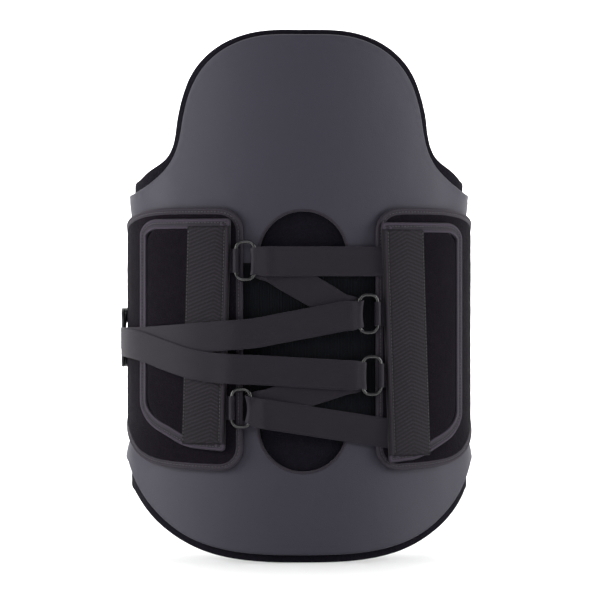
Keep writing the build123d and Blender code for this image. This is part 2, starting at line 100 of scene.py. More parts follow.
def turn_at_x(x, z, g):
    """Turn round the body, from the spine, of a back point at |x|."""
    across = side_centre(z)
    radius, _ = blend_arc(back_depth(z), across)
    on_back = np.arcsin(np.clip(x / (radius + g), 0, 1))
    on_side = np.arcsin(np.clip((x - across) / (SIDE_RADIUS + g), 0, 1))
    return np.where(on_back < np.arcsin(across / (radius - SIDE_RADIUS)), on_back, on_side)


def turn_of(q, z, g):
    q = np.abs(q)
    start = turn_at_x(FLAT_REACH, z, g)
    turn = start + (q - FLAT_REACH) / (SIDE_RADIUS + g)
    front_q = FLAT_REACH + (FRONT_TURN - start) * (SIDE_RADIUS + g)
    turn = np.where(turn > FRONT_TURN, FRONT_TURN + (q - front_q) / (FRONT_RADIUS + g), turn)
    return np.where(q < FLAT_REACH, turn_at_x(np.minimum(q, FLAT_REACH), z, g), turn)


def q_of(turn, z, g):
    """Unrolled distance of a turn past the flat reach."""
    start = turn_at_x(FLAT_REACH, z, g)
    front_q = FLAT_REACH + (FRONT_TURN - start) * (SIDE_RADIUS + g)
    side = FLAT_REACH + (turn - start) * (SIDE_RADIUS + g)
    return np.where(turn > FRONT_TURN, front_q + (turn - FRONT_TURN) * (FRONT_RADIUS + g), side)


def place(q, z, g, h):
    """3-D points and outward directions at distance h out, laid out for distance g."""
    q, z, h = np.broadcast_arrays(*(np.asarray(a, float) for a in (q, z, h)))
    turn = turn_of(q, z, g)
    side = np.where(q < 0, -1.0, 1.0)
    across = side_centre(z)
    radius, centre = blend_arc(back_depth(z), across)
    back_turn = np.arcsin(across / (radius - SIDE_RADIUS))
    sin, cos = np.sin(turn), np.cos(turn)
    x = np.where(turn < back_turn, (radius + h) * sin, across + (SIDE_RADIUS + h) * sin)
    y = np.where(turn < back_turn, centre - (radius + h) * cos, -(SIDE_RADIUS + h) * cos)
    x = np.where(turn > FRONT_TURN, (FRONT_RADIUS + h) * sin, x)
    y = np.where(turn > FRONT_TURN, -FRONT_CENTRE - (FRONT_RADIUS + h) * cos, y)
    return np.stack([side * x, y, z], -1), np.stack([side * sin, -cos, 0 * z], -1)


def q_at_x(x, z, g):
    """Unrolled distance of a back point at x."""
    turn = turn_at_x(np.abs(x), z, g)
    return np.sign(x) * np.where(np.abs(x) < FLAT_REACH, np.abs(x), q_of(turn, z, g))


def q_at_y(y, z, g):
    """Unrolled distance of a flank point at y."""
    return q_of(np.arccos(np.clip(-y / (SIDE_RADIUS + g), -1, 1)), z, g)


# ---------------------------------------------------------------- outlines
COVER_TOP = [(0, 447.5), (38, 446.2), (68, 435.5), (87, 418), (97, 398), (102.5, 375),
             (107, 353), (113.5, 339.5), (127, 325.5), (149, 313.5), (170, 311.5)]
COVER_BOTTOM = [(0, 6.5), (50, 8.2), (84, 15), (103, 23.5), (120, 36.5), (134.5, 53), (144, 70), (151, 91)]
LINER_TOP = [(0, 452), (40, 450.5), (71, 439.5), (91.5, 420.5), (101.5, 399), (106.8, 376),
             (110.5, 355), (116.5, 344), (130.5, 334), (141, 324.5), (150, 318), (170, 316)]
LINER_BOTTOM = [(0, 0), (45, 1.2), (88, 10), (108, 20), (124.5, 33), (138, 49.5),
                (146, 65), (150, 82), (156, 96)]
BELT_TOP = [(-140, 301), (-100, 301), (-62, 301), (-32, 296), (0, 288.5), (50, 276), (140, 262)]
BELT_BOTTOM = [(-140, 77.5), (-92, 77.5), (-62, 82.5), (-36, 96), (0, 113), (50, 125), (140, 130)]


def run(points):
    """Distance along a row of points."""
    return np.concatenate([[0], np.cumsum(np.linalg.norm(np.diff(points, axis=0), axis=1))])


def spline(points, step=2.5):
    """Cubic through the points, sampled evenly."""
    p = np.array(points, float)
    t = run(p)
    n = len(p)
    gap = np.diff(t)
    a = np.zeros((n, n))
    b = np.zeros((n, p.shape[1]))
    a[0, 0] = a[-1, -1] = 1
    for i in range(1, n - 1):
        a[i, i - 1 : i + 2] = gap[i - 1], 2 * (gap[i - 1] + gap[i]), gap[i]
        b[i] = 6 * ((p[i + 1] - p[i]) / gap[i] - (p[i] - p[i - 1]) / gap[i - 1])
    m = np.linalg.solve(a, b)
    at = np.linspace(0, t[-1], max(2, int(round(t[-1] / step)) + 1))
    k = np.clip(np.searchsorted(t, at, side="right") - 1, 0, n - 2)
    u, v, w = (at - t[k])[:, None], (t[k + 1] - at)[:, None], gap[k][:, None]
    curved = (m[k] * v**3 + m[k + 1] * u**3) / (6 * w)
    return curved + (p[k] / w - m[k] * w / 6) * v + (p[k + 1] / w - m[k + 1] * w / 6) * u


def path3(points, step=1.5):
    """Smooth 3-D or wider path through control points, spaced by their first two or three values."""
    p = np.array(points, float)
    t = run(p[:, :3])
    at = np.linspace(0, t[-1], max(2, int(round(t[-1] / step)) + 1))
    n = len(p)
    gap = np.diff(t)[:, None]
    secant = np.diff(p, axis=0) / gap
    slope = np.zeros_like(p)
    slope[0], slope[-1] = secant[0], secant[-1]
    for i in range(1, n - 1):
        same = secant[i - 1] * secant[i] > 0
        mean = (gap[i] * secant[i - 1] + gap[i - 1] * secant[i]) / (gap[i - 1] + gap[i])
        slope[i] = np.where(same, mean, 0.3 * mean)
    k = np.clip(np.searchsorted(t, at, side="right") - 1, 0, n - 2)
    w = gap[k]
    u = (at - t[k])[:, None] / w
    return ((2 * u**3 - 3 * u**2 + 1) * p[k] + (u**3 - 2 * u**2 + u) * w * slope[k]
            + (3 * u**2 - 2 * u**3) * p[k + 1] + (u**3 - u**2) * w * slope[k + 1])


def rounded(corners, radii, step=2.5):
    """Closed outline with rounded corners; a radius of 0 keeps the corner sharp."""
    out = []
    n = len(corners)
    for i in range(n):
        p, a, b = (np.array(corners[j % n], float) for j in (i, i - 1, i + 1))
        u, v = (a - p) / np.linalg.norm(a - p), (b - p) / np.linalg.norm(b - p)
        r = radii[i]
        if r == 0:
            out.append(p)
            continue
        half = math.acos(np.clip(u @ v, -1, 1)) / 2
        reach = r / math.tan(half)
        centre = p + (u + v) / np.linalg.norm(u + v) * r / math.sin(half)
        start, end = p + u * reach - centre, p + v * reach - centre
        sweep = math.pi - 2 * half
        sign = np.sign(start[0] * end[1] - start[1] * end[0])
        for k in range(max(3, int(sweep * r / 1.8) + 1) + 1):
            t = sign * sweep * k / max(3, int(sweep * r / 1.8) + 1)
            out.append(centre + np.array([start[0] * math.cos(t) - start[1] * math.sin(t),
                                          start[0] * math.sin(t) + start[1] * math.cos(t)]))
    return fine(np.array(out), step)


def fine(loop, step=2.5, closed=True):
    """Adds points to the long runs of an outline, about a step apart."""
    out = []
    for i in range(len(loop) if closed else len(loop) - 1):
        a, b = loop[i], loop[(i + 1) % len(loop)]
        k = max(1, int(round(np.linalg.norm(b - a) / step)))
        out += [a + (b - a) * j / k for j in range(k)]
    return np.array(out if closed else out + [loop[-1]])


def area_of(loop):
    x, y = loop.T
    return 0.5 * float(np.sum(x * np.roll(y, -1) - np.roll(x, -1) * y))


def turned(loop, ccw=True):
    return loop if (area_of(loop) > 0) == ccw else loop[::-1]


def inward(loop, closed=True):
    """Mitred directions into the material, which lies to the left of the outline."""
    step = np.roll(loop, -1, 0) - loop
    back = loop - np.roll(loop, 1, 0)
    if not closed:
        step[-1], back[0] = back[-1], step[0]
    n1 = np.stack([-step[:, 1], step[:, 0]], 1) / np.linalg.norm(step, axis=1)[:, None]
    n2 = np.stack([-back[:, 1], back[:, 0]], 1) / np.linalg.norm(back, axis=1)[:, None]
    mid = n1 + n2
    return mid / np.maximum((mid * n1).sum(1), 0.35)[:, None]


def distance_to(points, loops):
    best = np.full(len(points), 1e9)
    for loop in loops:
        a, b = loop, np.roll(loop, -1, 0)
        for start in range(0, len(points), 4000):
            p = points[start : start + 4000, None]
            t = np.clip(((p - a) * (b - a)).sum(2) / ((b - a) ** 2).sum(1), 0, 1)
            near = np.linalg.norm(p - (a + t[..., None] * (b - a)), axis=2).min(1)
            best[start : start + 4000] = np.minimum(best[start : start + 4000], near)
    return best


def inside(points, loop):
    hit = np.zeros(len(points), bool)
    a, b = loop, np.roll(loop, -1, 0)
    for start in range(0, len(points), 4000):
        p = points[start : start + 4000, None]
        cross = (a[:, 1] > p[..., 1]) != (b[:, 1] > p[..., 1])
        rise = np.where(b[:, 1] == a[:, 1], 1e-9, b[:, 1] - a[:, 1])
        x = a[:, 0] + (p[..., 1] - a[:, 1]) * (b[:, 0] - a[:, 0]) / rise
        hit[start : start + 4000] = (cross & (p[..., 0] < x)).sum(1) % 2 == 1
    return hit


# ---------------------------------------------------------------- mesh building
def make(name, verts, faces, material, cloth=None, smooth=True):
    """Mesh object from millimetre points; cloth is the flat place of each point."""
    me = bpy.data.meshes.new(name)
    me.from_pydata((np.asarray(verts) * MM).tolist(), [], [list(map(int, f)) for f in faces])
    if cloth is not None:
        spot = np.zeros((len(verts), 3), np.float32)
        spot[:, :2] = np.asarray(cloth)[:, :2] * MM
        me.attributes.new("cloth", "FLOAT_VECTOR", "POINT").data.foreach_set("vector", spot.ravel())
    me.polygons.foreach_set("use_smooth", [smooth] * len(me.polygons))
    me.materials.append(material)
    me.set_sharp_from_angle(angle=math.radians(48))
    me.update()
    obj = bpy.data.objects.new(name, me)
    bpy.context.scene.collection.objects.link(obj)
    return obj


def waves(q, z, size, seed, octaves=3):
    """Smooth noise over the flat cloth, about -1 to 1."""
    values = []
    for a, b in zip(np.ravel(q), np.ravel(z)):
        spot = Vector((a / size + seed * 7.3, b / size - seed * 3.1, seed))
        values.append(noise.fractal(spot, 0.6, 2.0, octaves))
    return np.array(values).reshape(np.shape(q))


def panel(name, outline, g, low, high, roll, material, step=3.0, holes=(), lift=None, drape=None):
    """Closed pad between two distances out; lift moves its outer face, drape all of it."""
    loops = [turned(np.asarray(outline, float))] + [turned(np.asarray(h, float), False) for h in holes]
    points, edges = [], []
    for share in np.linspace(0, math.pi / 2, 6):
        for loop in loops:
            ring = loop + inward(loop) * roll * (1 - math.cos(share))
            base = len(points)
            points += list(ring)
            edges += [(base + i, base + (i + 1) % len(ring)) for i in range(len(ring))]
    box_low, box_high = loops[0].min(0), loops[0].max(0)
    rows = np.arange(box_low[1] + step / 2, box_high[1], step * 0.866)
    grid = np.array([(x + (step / 2 if k % 2 else 0), y) for k, y in enumerate(rows)
                     for x in np.arange(box_low[0] + step / 2, box_high[0], step)])
    grid = grid[inside(grid, loops[0])]
    for hole in loops[1:]:
        grid = grid[~inside(grid, hole)]
    grid = grid[distance_to(grid, loops) > roll + 0.45 * step]
    points = np.array(points + list(grid))
    flat, _, tris, *_ = geometry.delaunay_2d_cdt([Vector(p) for p in points], edges, [], 0, 1e-5)
    flat = np.array([tuple(v) for v in flat])
    tris = np.array([t for t in tris if len(t) == 3])
    middle = flat[tris].mean(1)
    keep = inside(middle, loops[0])
    for hole in loops[1:]:
        keep &= ~inside(middle, hole)
    tris = tris[keep]
    a, b, c = (flat[tris[:, k]] for k in range(3))
    turn = (b[:, 0] - a[:, 0]) * (c[:, 1] - a[:, 1]) - (b[:, 1] - a[:, 1]) * (c[:, 0] - a[:, 0])
    tris = tris[np.abs(turn) > 1e-7]
    turn = turn[np.abs(turn) > 1e-7]
    tris[turn < 0] = tris[turn < 0][:, ::-1]
    used = np.unique(tris)
    index = np.full(len(flat), -1)
    index[used] = np.arange(len(used))
    flat, tris = flat[used], index[tris]
    depth = distance_to(flat, loops)
    share = np.sqrt(np.clip(1 - (1 - np.clip(depth / roll, 0, 1)) ** 2, 0, 1))
    q, z = flat.T
    middle, half = (low + high) / 2, (high - low) / 2
    sway = drape(q, z, depth) if drape else 0
    rise = lift(q, z, depth) * np.clip(depth / roll, 0, 1) if lift else 0
    top, _ = place(q, z, g, middle + half * share + rise + sway)
    bottom, _ = place(q, z, g, middle - half * share + sway)
    rim = depth < 1e-3
    under = np.where(rim, np.arange(len(flat)), len(flat) + np.cumsum(~rim) - 1)
    verts = np.concatenate([top, bottom[~rim]])
    faces = np.concatenate([tris, under[tris][:, ::-1]])
    return make(name, verts, faces, material, np.concatenate([flat, flat[~rim]]))


def loft_faces(n, m, closed=False):
    """Quads between n rings of m points, capped at both ends unless the rings close on themselves."""
    faces = []
    for i in range(n if closed else n - 1):
        j = (i + 1) % n
        faces += [(i * m + k, i * m + (k + 1) % m, j * m + (k + 1) % m, j * m + k) for k in range(m)]
    if not closed:
        faces += [tuple(range(m))[::-1], tuple((n - 1) * m + k for k in range(m))]
    return faces


def flat_places(across, along):
    """Flat places of a lofted mesh's points, ring by ring."""
    grids = np.broadcast_arrays(np.asarray(across)[None, :], np.asarray(along)[:, None])
    return np.stack(grids, -1).reshape(-1, 2)


def slab(name, top, low, material, flat):
    """Closed sheet between two grids of points of one shape."""
    n, m = top.shape[:2]
    count = n * m
    grid = np.arange(count).reshape(n, m)
    quads = np.stack([grid[:-1, :-1], grid[:-1, 1:], grid[1:, 1:], grid[1:, :-1]], -1).reshape(-1, 4)
    ring = np.concatenate([grid[0, :], grid[1:, -1], grid[-1, -2::-1], grid[-2:0:-1, 0]])
    wall = [(a + count, b + count, b, a) for a, b in zip(ring, np.roll(ring, -1))]
    faces = [tuple(f) for f in quads] + [tuple(f[::-1] + count) for f in quads] + wall
    verts = np.concatenate([top.reshape(-1, 3), low.reshape(-1, 3)])
    flat = np.stack(flat, -1).reshape(-1, 2)
    return facing_out(make(name, verts, faces, material, np.concatenate([flat, flat])))


def bend(x, z, r, start, end, count=14):
    """Points on a circle between two angles in degrees."""
    return [(x + r * math.cos(t), z + r * math.sin(t)) for t in np.radians(np.linspace(start, end, count))]


def sweep_rim(name, path, g, profile, material, closed=True, drape=None):
    """Tape round an outline; profile holds (distance in from the edge, distance out) pairs."""
    path = np.asarray(path, float)
    along = run(path)
    way = inward(path, closed)
    profile = np.asarray(profile, float)
    n, m = len(path), len(profile)
    flat = path[:, None] + way[:, None] * profile[None, :, :1]
    out = np.broadcast_to(profile[None, :, 1], (n, m)).copy()
    if drape:
        out += drape(flat[..., 0], flat[..., 1], 0 * out)
    verts, _ = place(flat[..., 0], flat[..., 1], g, out)
    flat = flat_places(run(profile), along)
    return facing_out(make(name, verts.reshape(-1, 3), loft_faces(n, m, closed), material, flat))


def ridge_highlight(obj, values):
    """Stores how high each point stands on the piece's ridges, which the material paints as highlight on
    the ridges and shade in the valleys.
    """
    layer = obj.data.attributes.new("ridge_highlight", "FLOAT", "POINT")
    layer.data.foreach_set("value", np.ravel(values).astype(np.float32))


def facing_out(obj):
    """Turns a closed mesh's faces outwards."""
    me = obj.data
    co = np.zeros(len(me.vertices) * 3)
    me.vertices.foreach_get("co", co)
    co = co.reshape(-1, 3)
    me.calc_loop_triangles()
    tri = np.zeros(len(me.loop_triangles) * 3, int)
    me.loop_triangles.foreach_get("vertices", tri)
    tri = tri.reshape(-1, 3)
    a, b, c = (co[tri[:, k]] - co.mean(0) for k in range(3))
    if np.einsum("ij,ij->i", a, np.cross(b, c)).sum() < 0:
        me.flip_normals()
    return obj


def tape_profile(wide, low, high, bead=0.0, groove=None, points=9):
    """Section of a folded edge tape: rounded outer edge, flat faces, rounded inner edge."""
    middle, half = (low + high) / 2, (high - low) / 2
    spans = []
    for t in np.linspace(0, math.pi, 2 * points):
        across = wide / 2 * (1 - math.copysign(abs(math.cos(t)) ** 0.75, math.cos(t)))
        out = middle + half * math.sin(t) ** 0.45 if 0 < t < math.pi else middle
        rise = bead * math.exp(-((across - 1.5) / 1.1) ** 2)
        if groove:
            rise -= 0.45 * math.exp(-((across - groove) / 0.55) ** 2)
        spans.append((across, out + rise * math.sin(t)))
    for t in np.linspace(math.pi, 2 * math.pi, 8)[1:-1]:
        spans.append((wide / 2 * (1 - math.copysign(abs(math.cos(t)) ** 0.6, math.cos(t))),
                      middle + half * math.copysign(abs(math.sin(t)) ** 0.45, math.sin(t))))
    return spans


def strap_section(across=12):
    """Round the section of a webbing strap: (share of the half width, share of the half thickness)."""
    u = np.linspace(-1, 1, across + 1)
    u = np.sin(u * math.pi / 2) * 0.4 + u * 0.6
    v = np.where(np.abs(u) > 0.97, 0.72, 1.0) + 0.14 * np.exp(-((np.abs(u) - 0.90) / 0.05) ** 2)
    us = np.concatenate([u, [1.012], u[::-1], [-1.012]])
    vs = np.concatenate([v, [0.0], -v[::-1], [0.0]])
    return us, vs


def ribbon_frame(centre, outward, wide):
    """Everything needed to cut a strap into pieces that meet exactly."""
    centre, outward = np.asarray(centre, float), np.asarray(outward, float)
    tangent = np.gradient(centre, axis=0)
    tangent /= np.linalg.norm(tangent, axis=1)[:, None]
    outward = outward - (outward * tangent).sum(1)[:, None] * tangent
    outward /= np.linalg.norm(outward, axis=1)[:, None]
    side = np.cross(tangent, outward)
    wide = np.broadcast_to(np.asarray(wide, float), (len(centre),))
    return centre, outward, side, wide, run(centre)


def ribbon_piece(name, frame_now, first, last, thick=1.4):
    centre, outward, side, wide, along = (part[first : last + 1] for part in frame_now)
    us, vs = strap_section()
    n, m = len(centre), len(us)
    verts = (centre[:, None] + side[:, None] * (us[None, :, None] * wide[:, None, None] / 2)
             + outward[:, None] * (vs * thick / 2)[None, :, None])
    flat = flat_places(us * STRAP_WIDTH / 2, along)
    return facing_out(make(name, verts.reshape(-1, 3), loft_faces(n, m), M["webbing"], flat))


def tube(name, centre, around, radius, material, sides=16, squash=0.95):
    """Closed bar, slightly flattened, along 3-D points; around is the direction it turns about."""
    centre = np.asarray(centre, float)
    tangent = np.roll(centre, -1, 0) - np.roll(centre, 1, 0)
    tangent /= np.linalg.norm(tangent, axis=1)[:, None]
    up = np.broadcast_to(np.asarray(around, float), centre.shape)
    side = np.cross(tangent, up)
    side /= np.linalg.norm(side, axis=1)[:, None]
    n = len(centre)
    t = np.arange(sides) * 2 * math.pi / sides
    verts = (centre[:, None] + side[:, None] * (np.cos(t) * radius)[None, :, None]
             + up[:, None] * (np.sin(t) * radius * squash)[None, :, None])
    flat = flat_places(t * radius, np.arange(n) * 1.0)
    return facing_out(make(name, verts.reshape(-1, 3), loft_faces(n, sides, True), material, flat))


# How wide each ring round a stitch is, and how far out it lies, in thread radii.
STITCH_RINGS = [(0.35, -0.5), (0.9, 0.05), (1.05, 0.4), (0.9, 0.05), (0.35, -0.5)]


def stitches(name, rows, material, pitch=3.0, long=2.1, radius=0.28):
    """Thread on the surface: one short rounded stitch after another along each row of (points, outward)."""
    verts, faces, spots = [], [], []
    for points, outward in rows:
        along = run(points)
        for start in np.arange(pitch / 2, along[-1] - long, pitch):
            at = start + np.array([0, 0.16, 0.5, 0.84, 1]) * long
            centre = np.stack([np.interp(at, along, points[:, k]) for k in range(3)], 1)
            up = np.stack([np.interp(at, along, outward[:, k]) for k in range(3)], 1)
            way = centre[-1] - centre[0]
            way /= np.linalg.norm(way)
            side = np.cross(way, up)
            base = len(verts)
            for k, (size, rise) in enumerate(STITCH_RINGS):
                for t in np.arange(6) * math.pi / 3:
                    verts.append(centre[k] + side[k] * math.cos(t) * radius * size
                                 + up[k] * (math.sin(t) * radius * size + rise * radius))
                    spots.append((t, at[k]))
            for k in range(base, base + 24, 6):
                faces += [(k + j, k + (j + 1) % 6, k + 6 + (j + 1) % 6, k + 6 + j) for j in range(6)]
            faces += [tuple(base + j for j in range(6))[::-1], tuple(base + 24 + j for j in range(6))]
    return facing_out(make(name, verts, faces, material, spots))


def seam(path, g, h, inset=0.0, closed=True):
    """Row for stitches(): a flat path lifted to distance h out."""
    path = np.asarray(path, float)
    if inset:
        path = path + inward(path, closed) * inset
    if closed:
        path = np.concatenate([path, path[:1]])
    path = fine(path, 1.5, False)
    return place(path[:, 0], path[:, 1], g, h)


# ---------------------------------------------------------------- materials
def node(tree, kind, inputs=None, **settings):
    """Adds a shader node; inputs maps its sockets to plain values or to other sockets."""
    made = tree.nodes.new("ShaderNode" + kind)
    for key, value in settings.items():
        setattr(made, key, value)
    for socket, value in (inputs or {}).items():
        if isinstance(value, bpy.types.NodeSocket):
            tree.links.new(value, made.inputs[socket])
        else:
            made.inputs[socket].default_value = value
    return made


def calc(tree, kind, *values):
    return node(tree, "Math", dict(enumerate(values)), operation=kind).outputs[0]


def grain(tree, vector, scale, detail=3.0, rough=0.6):
    sockets = {"Vector": vector, "Scale": scale, "Detail": detail, "Roughness": rough}
    return node(tree, "TexNoise", sockets).outputs[0]


def cells(tree, vector, scale):
    return node(tree, "TexVoronoi", {"Vector": vector, "Scale": scale}).outputs["Distance"]


def sine(tree, value, period, phase=0.0):
    angle = calc(tree, "MULTIPLY_ADD", value, 2 * math.pi / period, phase)
    return calc(tree, "MULTIPLY_ADD", calc(tree, "SINE", angle), 0.5, 0.5)


def shader(name, colour, rough, bump, build, sheen=0.0, specular=0.5, coat=0.0, spread=0.12):
    """Procedural finish. build(tree, cloth, world) returns (height, shade), both 0 to 1 sockets."""
    mat = bpy.data.materials.new(name)
    mat.use_nodes = True
    tree = mat.node_tree
    tree.nodes.clear()
    cloth = node(tree, "Attribute", attribute_name="cloth").outputs["Vector"]
    cloth = node(tree, "VectorMath", {0: cloth, "Scale": 1 / MM}, operation="SCALE").outputs[0]
    world = node(tree, "TexCoord").outputs["Object"]
    height, shade = build(tree, cloth, world)
    patches = grain(tree, world, 22.0, 4.0, 0.5)
    mixed = calc(tree, "ADD", calc(tree, "MULTIPLY", shade, 0.72), calc(tree, "MULTIPLY", patches, 0.28))
    ramp = node(tree, "ValToRGB", {0: mixed})
    for element, at, way in zip(ramp.color_ramp.elements, (0.12, 0.88), (-1, 1)):
        element.position = at
        element.color = [c * (1 + way * spread * 2.2) for c in colour] + [1]
    limits = {"Value": mixed, "To Min": max(0.05, rough - 0.07), "To Max": min(1.0, rough + 0.07)}
    sockets = {
        "Base Color": ramp.outputs[0],
        "Roughness": node(tree, "MapRange", limits).outputs[0],
        "Specular IOR Level": specular,
        "Sheen Weight": sheen,
        "Sheen Roughness": 0.45,
        "Coat Weight": coat,
        "Coat Roughness": 0.12,
        "Normal": node(tree, "Bump", {"Strength": 1.0, "Distance": bump * MM, "Height": height}).outputs[0],
    }
    bsdf = node(tree, "BsdfPrincipled", sockets)
    node(tree, "OutputMaterial", {0: bsdf.outputs[0]})
    return mat


def weave(pitch_across, pitch_along, fuzz=0.25):
    """Plain weave: warp and weft threads passing over and under."""
    def build(tree, cloth, world):
        x, y = node(tree, "SeparateXYZ", {0: cloth}).outputs[:2]
        warp, weft = sine(tree, x, pitch_across), sine(tree, y, pitch_along)
        check = calc(tree, "MULTIPLY", sine(tree, x, 2 * pitch_across, 0.7),
                     sine(tree, y, 2 * pitch_along, 0.7))
        base = calc(tree, "MULTIPLY", calc(tree, "MAXIMUM", calc(tree, "MULTIPLY", warp, 0.8), weft), 0.65)
        base = calc(tree, "ADD", base, calc(tree, "MULTIPLY", check, 0.35))
        height = calc(tree, "MULTIPLY_ADD", grain(tree, cloth, 2.2, 2.0), fuzz, base)
        return height, calc(tree, "MULTIPLY", height, 1 / (1 + fuzz))
    return build


def ridge_lit(base, share):
    """Woven surface with painted light: lighter on the piece's ridges as a painted highlight and darker in
    its valleys as painted shade, from a stored value that is 0 in its valleys and 1 on its ridges.
    """
    def build(tree, cloth, world):
        height, shade = base(tree, cloth, world)
        ridge = node(tree, "Attribute", attribute_name="ridge_highlight").outputs["Fac"]
        ridge = calc(tree, "MULTIPLY", ridge, share)
        return height, calc(tree, "MULTIPLY_ADD", shade, 1 - share, ridge)
    return build


def pile(scale=1.6, clump=0.25):
    """Short looped or brushed pile."""
    def build(tree, cloth, world):
        tufts = calc(tree, "SUBTRACT", 1.0, cells(tree, cloth, scale))
        brushed = grain(tree, cloth, clump, 5.0, 0.65)
        height = calc(tree, "MULTIPLY_ADD", brushed, 0.9, tufts)
        return height, calc(tree, "MULTIPLY_ADD", brushed, 0.75, calc(tree, "MULTIPLY", tufts, 0.25))
    return build


def laminate(tree, cloth, world):
    """Smooth foam laminate with a very fine pebble."""
    pebble = calc(tree, "MULTIPLY", cells(tree, cloth, 1.15), 0.6)
    speck = grain(tree, cloth, 2.6)
    broad = grain(tree, cloth, 0.035, 4.0)
    shade = calc(tree, "MULTIPLY_ADD", broad, 0.7, calc(tree, "MULTIPLY", speck, 0.3))
    return calc(tree, "MULTIPLY_ADD", speck, 0.5, pebble), shade


def ribs(pitch):
    """Elastic: cords running up and down with cross threads."""
    def build(tree, cloth, world):
        x, y = node(tree, "SeparateXYZ", {0: cloth}).outputs[:2]
        height = calc(tree, "MULTIPLY_ADD", sine(tree, y, 0.9), 0.3, sine(tree, x, pitch))
        return height, calc(tree, "MULTIPLY", height, 0.77)
    return build


def moulded(tree, cloth, world):
    """Moulded plastic: faint grain and handling marks."""
    speck = grain(tree, world, 2600.0, 2.0)
    marks = grain(tree, world, 160.0, 5.0, 0.7)
    return speck, calc(tree, "MULTIPLY_ADD", marks, 0.6, calc(tree, "MULTIPLY", speck, 0.4))


def hooks(tree, cloth, world):
    """Rows of moulded hooks."""
    height = calc(tree, "SUBTRACT", 1.0, cells(tree, world, 700.0))
    return height, calc(tree, "POWER", height, 3.0)


PLAIN_WEAVE = weave(1.1, 0.8)
M = {
    "cover": shader("cover_laminate", (0.0225, 0.0205, 0.0320), 0.60, 0.10, laminate,
                   0.05, 0.28, spread=0.05),
    "liner": shader("liner_fabric", (0.0062, 0.0056, 0.0085), 0.95, 0.5, pile(0.9, 0.12),
                   0.012, 0.04, spread=0.22),
    "pile": shader("loop_pile", (0.0052, 0.0038, 0.0063), 0.93, 0.45, pile(1.3, 0.16),
                   0.015, 0.05, spread=0.2),
    "tape": shader("binding_tape", (0.0170, 0.0132, 0.0200), 0.72, 0.12, PLAIN_WEAVE,
                   0.06, 0.2, spread=0.14),
    # The piped binding and the herringbone band carry painted light: highlights on their ridges and shade
    # in their valleys.
    "piping": shader("piped_binding", (0.0200, 0.0155, 0.0240), 0.72, 0.12, ridge_lit(PLAIN_WEAVE, 0.8),
                     0.05, 0.2, spread=0.33),
    "band": shader("herringbone_band", (0.0088, 0.0064, 0.0105), 0.66, 0.12, ridge_lit(weave(1.0, 0.7), 0.85),
                   0.02, 0.16, spread=0.44),
    "webbing": shader("webbing", (0.0074, 0.0052, 0.0098), 0.62, 0.12, weave(1.25, 0.95),
                   0.03, 0.18, spread=0.16),
    "elastic": shader("elastic", (0.0022, 0.0026, 0.0040), 0.8, 0.25, ribs(1.4), 0.01, 0.06, spread=0.25),
    "thread": shader("thread", (0.042, 0.038, 0.044), 0.5, 0.05, weave(0.5, 0.4), 0.05, 0.3, spread=0.15),
    "gloss": shader("ring_gloss", (0.005, 0.005, 0.006), 0.26, 0.02, moulded, coat=0.2, spread=0.1),
    "handle": shader("handle_plastic", (0.007, 0.007, 0.0085), 0.42, 0.05, moulded, specular=0.28),
    "plate": shader("back_plate_plastic", (0.022, 0.022, 0.025), 0.5, 0.05, moulded, specular=0.4),
    "stay": shader("stay_plastic", (0.04, 0.04, 0.04), 0.5, 0.05, moulded, specular=0.4),
    "hook": shader("hook_fastener", (0.008, 0.008, 0.008), 0.6, 0.5, hooks, specular=0.3, spread=0.2),
}
CARRIED = {"back_plate": "plate", "left_edge_stay": "stay", "right_edge_stay": "stay",
           "left_hook_pad": "hook", "right_hook_pad": "hook", "handle_hook_pad": "hook",
           "right_hook_patch": "hook", "left_loop_patch": "pile"}
for carried, key in CARRIED.items():
    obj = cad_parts[carried]
    obj.data.materials.clear()
    obj.data.materials.append(M[key])


def finish_piece(obj, slot, body, *nodes, fill=None):
    """Hides the nodes a piece stands for and attaches it to the body it rides on; slot and fill are not
    used.
    """
    if nodes:
        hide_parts(*nodes)
    if body:
        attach(obj, body)


# ---------------------------------------------------------------- back panel
def mirrored(points):
    return [(-x, z) for x, z in reversed(points[1:])] + list(points)


def panel_loop(top, bottom, g, edge_y):
    """Closed (q, z) outline of a back panel whose sides end at edge_y on the flanks."""
    upper, lower = spline(mirrored(top)), spline(mirrored(bottom))
    side_q = lambda z: float(q_at_y(edge_y, z, g))

    def half(curve):
        widest = side_centre(curve[:, 1]) + SIDE_RADIUS + g
        pts = curve[(curve[:, 0] >= 0) & (curve[:, 0] <= widest - 1.5)]
        q = q_at_x(pts[:, 0], pts[:, 1], g)
        end_z = np.interp(0, curve[:, 0] - widest, curve[:, 1])
        flat = np.stack([q, pts[:, 1]], 1)
        if flat[-1, 0] < side_q(end_z) - 1:
            closing = fine(np.array([flat[-1], (side_q(end_z), end_z)]), 2.5, False)
            flat = np.concatenate([flat, closing[1:]])
        return flat

    up, down = half(upper), half(lower)
    right = np.concatenate([down, fine(np.array([down[-1], up[-1]]), 2.5, False)[1:-1], up[::-1]])
    left = right[::-1] * (-1, 1)
    loop = np.concatenate([right, left[1:-1] if right[0, 0] < 0.5 else left])
    keep = np.linalg.norm(loop - np.roll(loop, 1, 0), axis=1) > 0.4
    return loop[keep]


def stadium(wide, long, level, step=2.0):
    r = wide / 2
    up = [(r * math.cos(t), level + long / 2 - r + r * math.sin(t)) for t in np.linspace(0, math.pi, 40)]
    down = [(-x, 2 * level - z) for x, z in up]
    return fine(np.array(up + down), step)


